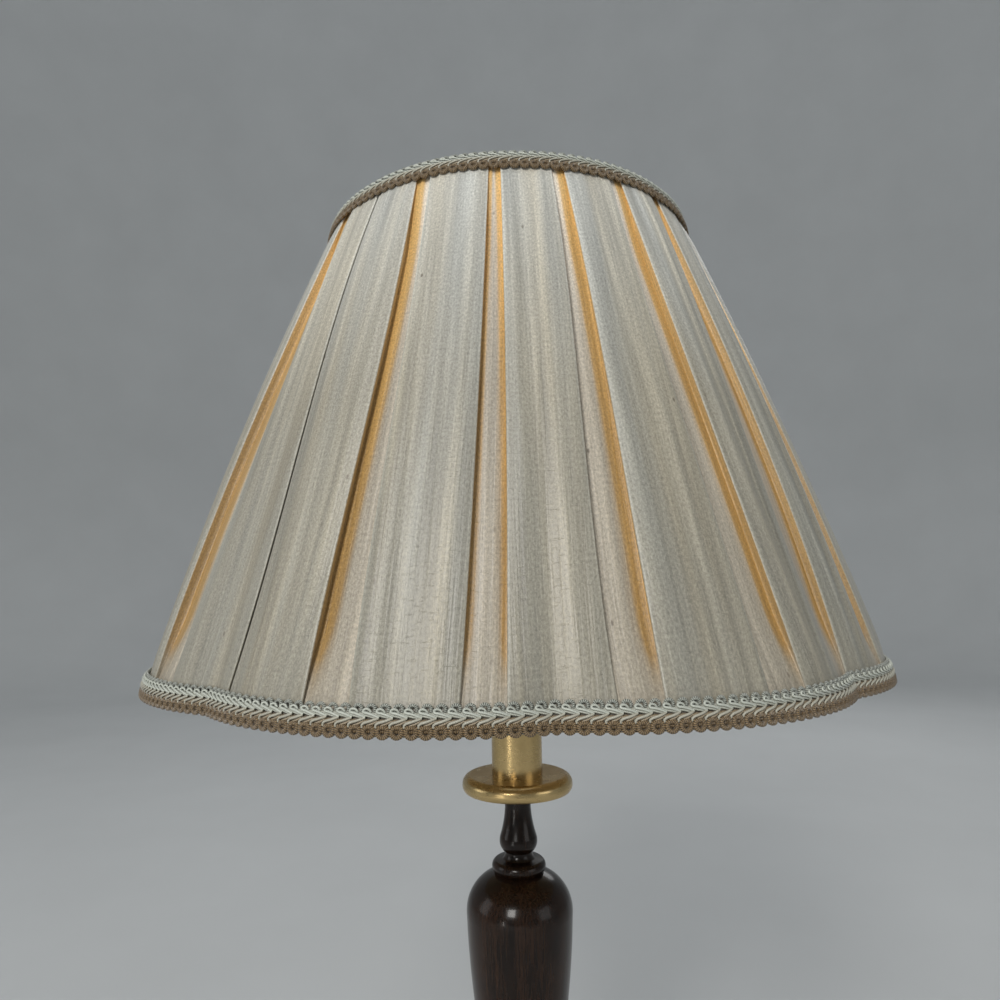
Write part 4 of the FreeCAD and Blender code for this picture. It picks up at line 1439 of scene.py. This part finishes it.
@dataclass
class Shade:
    """The shade: cover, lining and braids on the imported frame."""

    flat_cover: tuple[float, float] = (1.50, 0.285)
    flat_cover_area: float = 0.33
    flat_lining: tuple[float, float] = (1.20, 0.300)
    flat_lining_area: float = 0.27

    def build(self, wardrobe: Wardrobe) -> None:
        """Args:
            wardrobe: Where the materials come from.
        """
        cover = PleatedCover().build(wardrobe)
        self.declare(cover, "shade_cover")
        lining = Lining().build(wardrobe)
        self.declare(lining, "shade_lining")
        for edge in Edge:
            braid = GimpBraid(edge).build(wardrobe)
            self.declare(braid, f"braid_{edge.value[0]}")

    def declare(self, piece: bpy.types.Object, node: str) -> None:
        """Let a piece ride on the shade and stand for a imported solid.

        Args:
            piece: The piece.
            node: The solid that it replaces.
        """
        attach(piece, "shade")
        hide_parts(node)
        log.info("%s: %d faces", piece.name, len(piece.data.polygons))


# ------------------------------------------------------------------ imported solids


@dataclass
class Fittings:
    """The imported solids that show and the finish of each."""

    finishes: dict[Finish, tuple[str, ...]] = field(
        default_factory=lambda: {
            Finish.FELT: ("felt_pad",),
            Finish.WOOD: ("foot", "column"),
            Finish.BUSH: ("cord_bush",),
            Finish.STEEL: ("base_washer", "base_nut", "threaded_rod", "terminal_screws"),
            Finish.POLISHED: ("drip_pan", "tube_seat", "candle_tube", "tube_cap", "finial"),
            Finish.BRASS: (
                "harp_saddle",
                "socket_cap",
                "socket_shell",
                "harp",
                "harp_sleeve_left",
                "harp_sleeve_right",
                "harp_swivel",
                "switch_shaft",
            ),
            Finish.PAPER: ("socket_liner",),
            Finish.RESIN: ("socket_body", "switch_knob"),
            Finish.CONTACT: ("centre_contact", "screw_shell"),
            Finish.CAP: ("bulb_cap",),
            Finish.GLASS: ("bulb_glass",),
            Finish.STEM: ("bulb_mount",),
            Finish.WIRE: (
                *(f"shade_rib_{number}" for number in range(1, 9)),
                "shade_spider",
                "shade_ring_bottom",
                "shade_ring_top",
            ),
        }
    )

    def build(self, wardrobe: Wardrobe) -> None:
        """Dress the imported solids.

        Args:
            wardrobe: Where the materials come from.
        """
        for finish, names in self.finishes.items():
            for name in names:
                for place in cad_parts[name].material_slots:
                    place.material = wardrobe.of(finish)
            log.info("%s: %d solids", finish.name.lower(), len(names))


# ------------------------------------------------------------------ studio


@dataclass(frozen=True)
class SoftLight:
    """One rectangular studio light that faces the lamp."""

    name: str
    place: Point
    width: float
    height: float
    power: float
    colour: Colour


@dataclass
class Studio:
    """A pale round floor that curves up into its backdrop, soft lights and the camera."""

    focal_pixels: float = 751.0
    image_pixels: float = 1000.0
    sensor: float = 36.0
    camera_place: Point = (-0.0331, -0.4616, 0.4409)
    pitch: float = 5.99
    yaw: float = 0.934
    roll: float = 0.96
    floor_radius: float = 3.0
    cove: float = 1.2
    wall_top: float = 7.0
    pale: Colour = (0.58, 0.595, 0.60)
    air: Colour = (0.95, 0.98, 1.0)
    air_strength: float = 0.68
    aim: Point = (0.0, 0.0, 0.45)
    cove_steps: int = 9
    lights: tuple[SoftLight, ...] = (
        SoftLight("key", (-0.85, -2.05, 1.55), 0.6, 1.2, 36.0, (1.0, 0.98, 0.95)),
        SoftLight("window", (-2.20, -0.10, 1.00), 0.9, 1.4, 5.0, (0.95, 0.98, 1.0)),
        SoftLight("fill", (1.90, -1.50, 0.90), 1.2, 1.2, 5.0, (1.0, 1.0, 1.0)),
        SoftLight("strip", (-1.24, -1.58, 0.17), 0.12, 0.36, 1.6, (1.0, 0.97, 0.92)),
        SoftLight("back", (0.90, 2.00, 1.60), 1.0, 1.0, 8.0, (1.0, 1.0, 1.0)),
    )

    def build(self) -> None:
        """Set up the floor, the lights, the world and the camera."""
        self.build_floor()
        self.build_lights()
        self.build_world()
        self.build_camera()

    def build_floor(self) -> None:
        """Build the floor, its cove and the backdrop round it."""
        clear_hands()
        bpy.ops.mesh.primitive_circle_add(vertices=96, radius=self.floor_radius, fill_type="NGON")
        floor = bpy.context.view_layer.objects.active
        floor.name = "studio_floor"
        bpy.ops.object.mode_set(mode="EDIT")
        steps = self.cove_steps
        reach, level = self.floor_radius, 0.0
        for step in range(1, steps + 2):
            turn = min(step / steps, 1.0) * math.pi / 2
            next_reach = self.floor_radius + self.cove * math.sin(turn)
            next_level = self.cove * (1 - math.cos(turn)) if step <= steps else self.wall_top
            bpy.ops.mesh.extrude_edges_move(
                TRANSFORM_OT_translate={"value": (0, 0, next_level - level)}
            )
            bpy.ops.transform.resize(value=(next_reach / reach, next_reach / reach, 1))
            reach, level = next_reach, next_level
        bpy.ops.object.mode_set(mode="OBJECT")
        bpy.ops.object.shade_smooth_by_angle(angle=math.radians(40))
        recipe = Recipe("studio_floor")
        mottle = recipe.noise(recipe.place(), 3, 3)
        tone = recipe.ramp(mottle, [(0.3, 0.95), (0.7, 1.0)])
        recipe.set(Base_Color=recipe.blend(1.0, self.pale, tone, "MULTIPLY"), Roughness=0.8)
        floor.data.materials.append(recipe.material)

    def build_lights(self) -> None:
        """Build the area lights, each turned to the lamp."""
        target = Vector(self.aim)
        for lamp in self.lights:
            light = bpy.data.lights.new(lamp.name, "AREA")
            light.shape = "RECTANGLE"
            light.size = lamp.width
            light.size_y = lamp.height
            light.energy = lamp.power
            light.color = lamp.colour
            holder = bpy.data.objects.new(lamp.name, light)
            holder.location = lamp.place
            facing = target - Vector(lamp.place)
            holder.rotation_euler = facing.to_track_quat("-Z", "Y").to_euler()
            bpy.context.scene.collection.objects.link(holder)

    def build_world(self) -> None:
        """Build the soft light from above."""
        world = bpy.data.worlds.new("studio_air")
        bpy.context.scene.world = world
        world.use_nodes = True
        tree = world.node_tree
        tree.nodes.clear()
        air = tree.nodes.new("ShaderNodeBackground")
        air.inputs["Color"].default_value = (*self.air, 1.0)
        air.inputs["Strength"].default_value = self.air_strength
        output = tree.nodes.new("ShaderNodeOutputWorld")
        tree.links.new(air.outputs[0], output.inputs["Surface"])

    def build_camera(self) -> None:
        """Build the camera at the picture's viewpoint."""
        place = Vector(self.camera_place)
        heading = math.atan2(place.x, -place.y) + math.radians(self.yaw)
        pitch = math.radians(self.pitch)
        roll = math.radians(self.roll)
        ahead = math.cos(pitch)
        forward = Vector(
            (-math.sin(heading) * ahead, math.cos(heading) * ahead, math.sin(pitch))
        )
        level = forward.cross(Vector((0, 0, 1))).normalized()
        upright = level.cross(forward)
        side = level * math.cos(roll) - upright * math.sin(roll)
        top = level * math.sin(roll) + upright * math.cos(roll)
        turn = Matrix((side, top, -forward)).transposed().to_4x4()
        data = bpy.data.cameras.new("camera")
        data.sensor_width = self.sensor
        data.lens = self.focal_pixels * self.sensor / self.image_pixels
        data.clip_start = 0.01
        camera = bpy.data.objects.new("camera", data)
        bpy.context.scene.collection.objects.link(camera)
        camera.matrix_world = Matrix.Translation(place) @ turn
        bpy.context.scene.camera = camera


def main() -> None:
    """Build the lamp's looks and the studio."""
    logging.basicConfig(level=logging.INFO, format="%(name)s: %(message)s")
    bpy.context.scene.view_settings.view_transform = "Standard"
    wardrobe = Wardrobe()
    Studio().build()
    Fittings().build(wardrobe)
    Shade().build(wardrobe)
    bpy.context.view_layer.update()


if __name__ == "__main__":
    main()
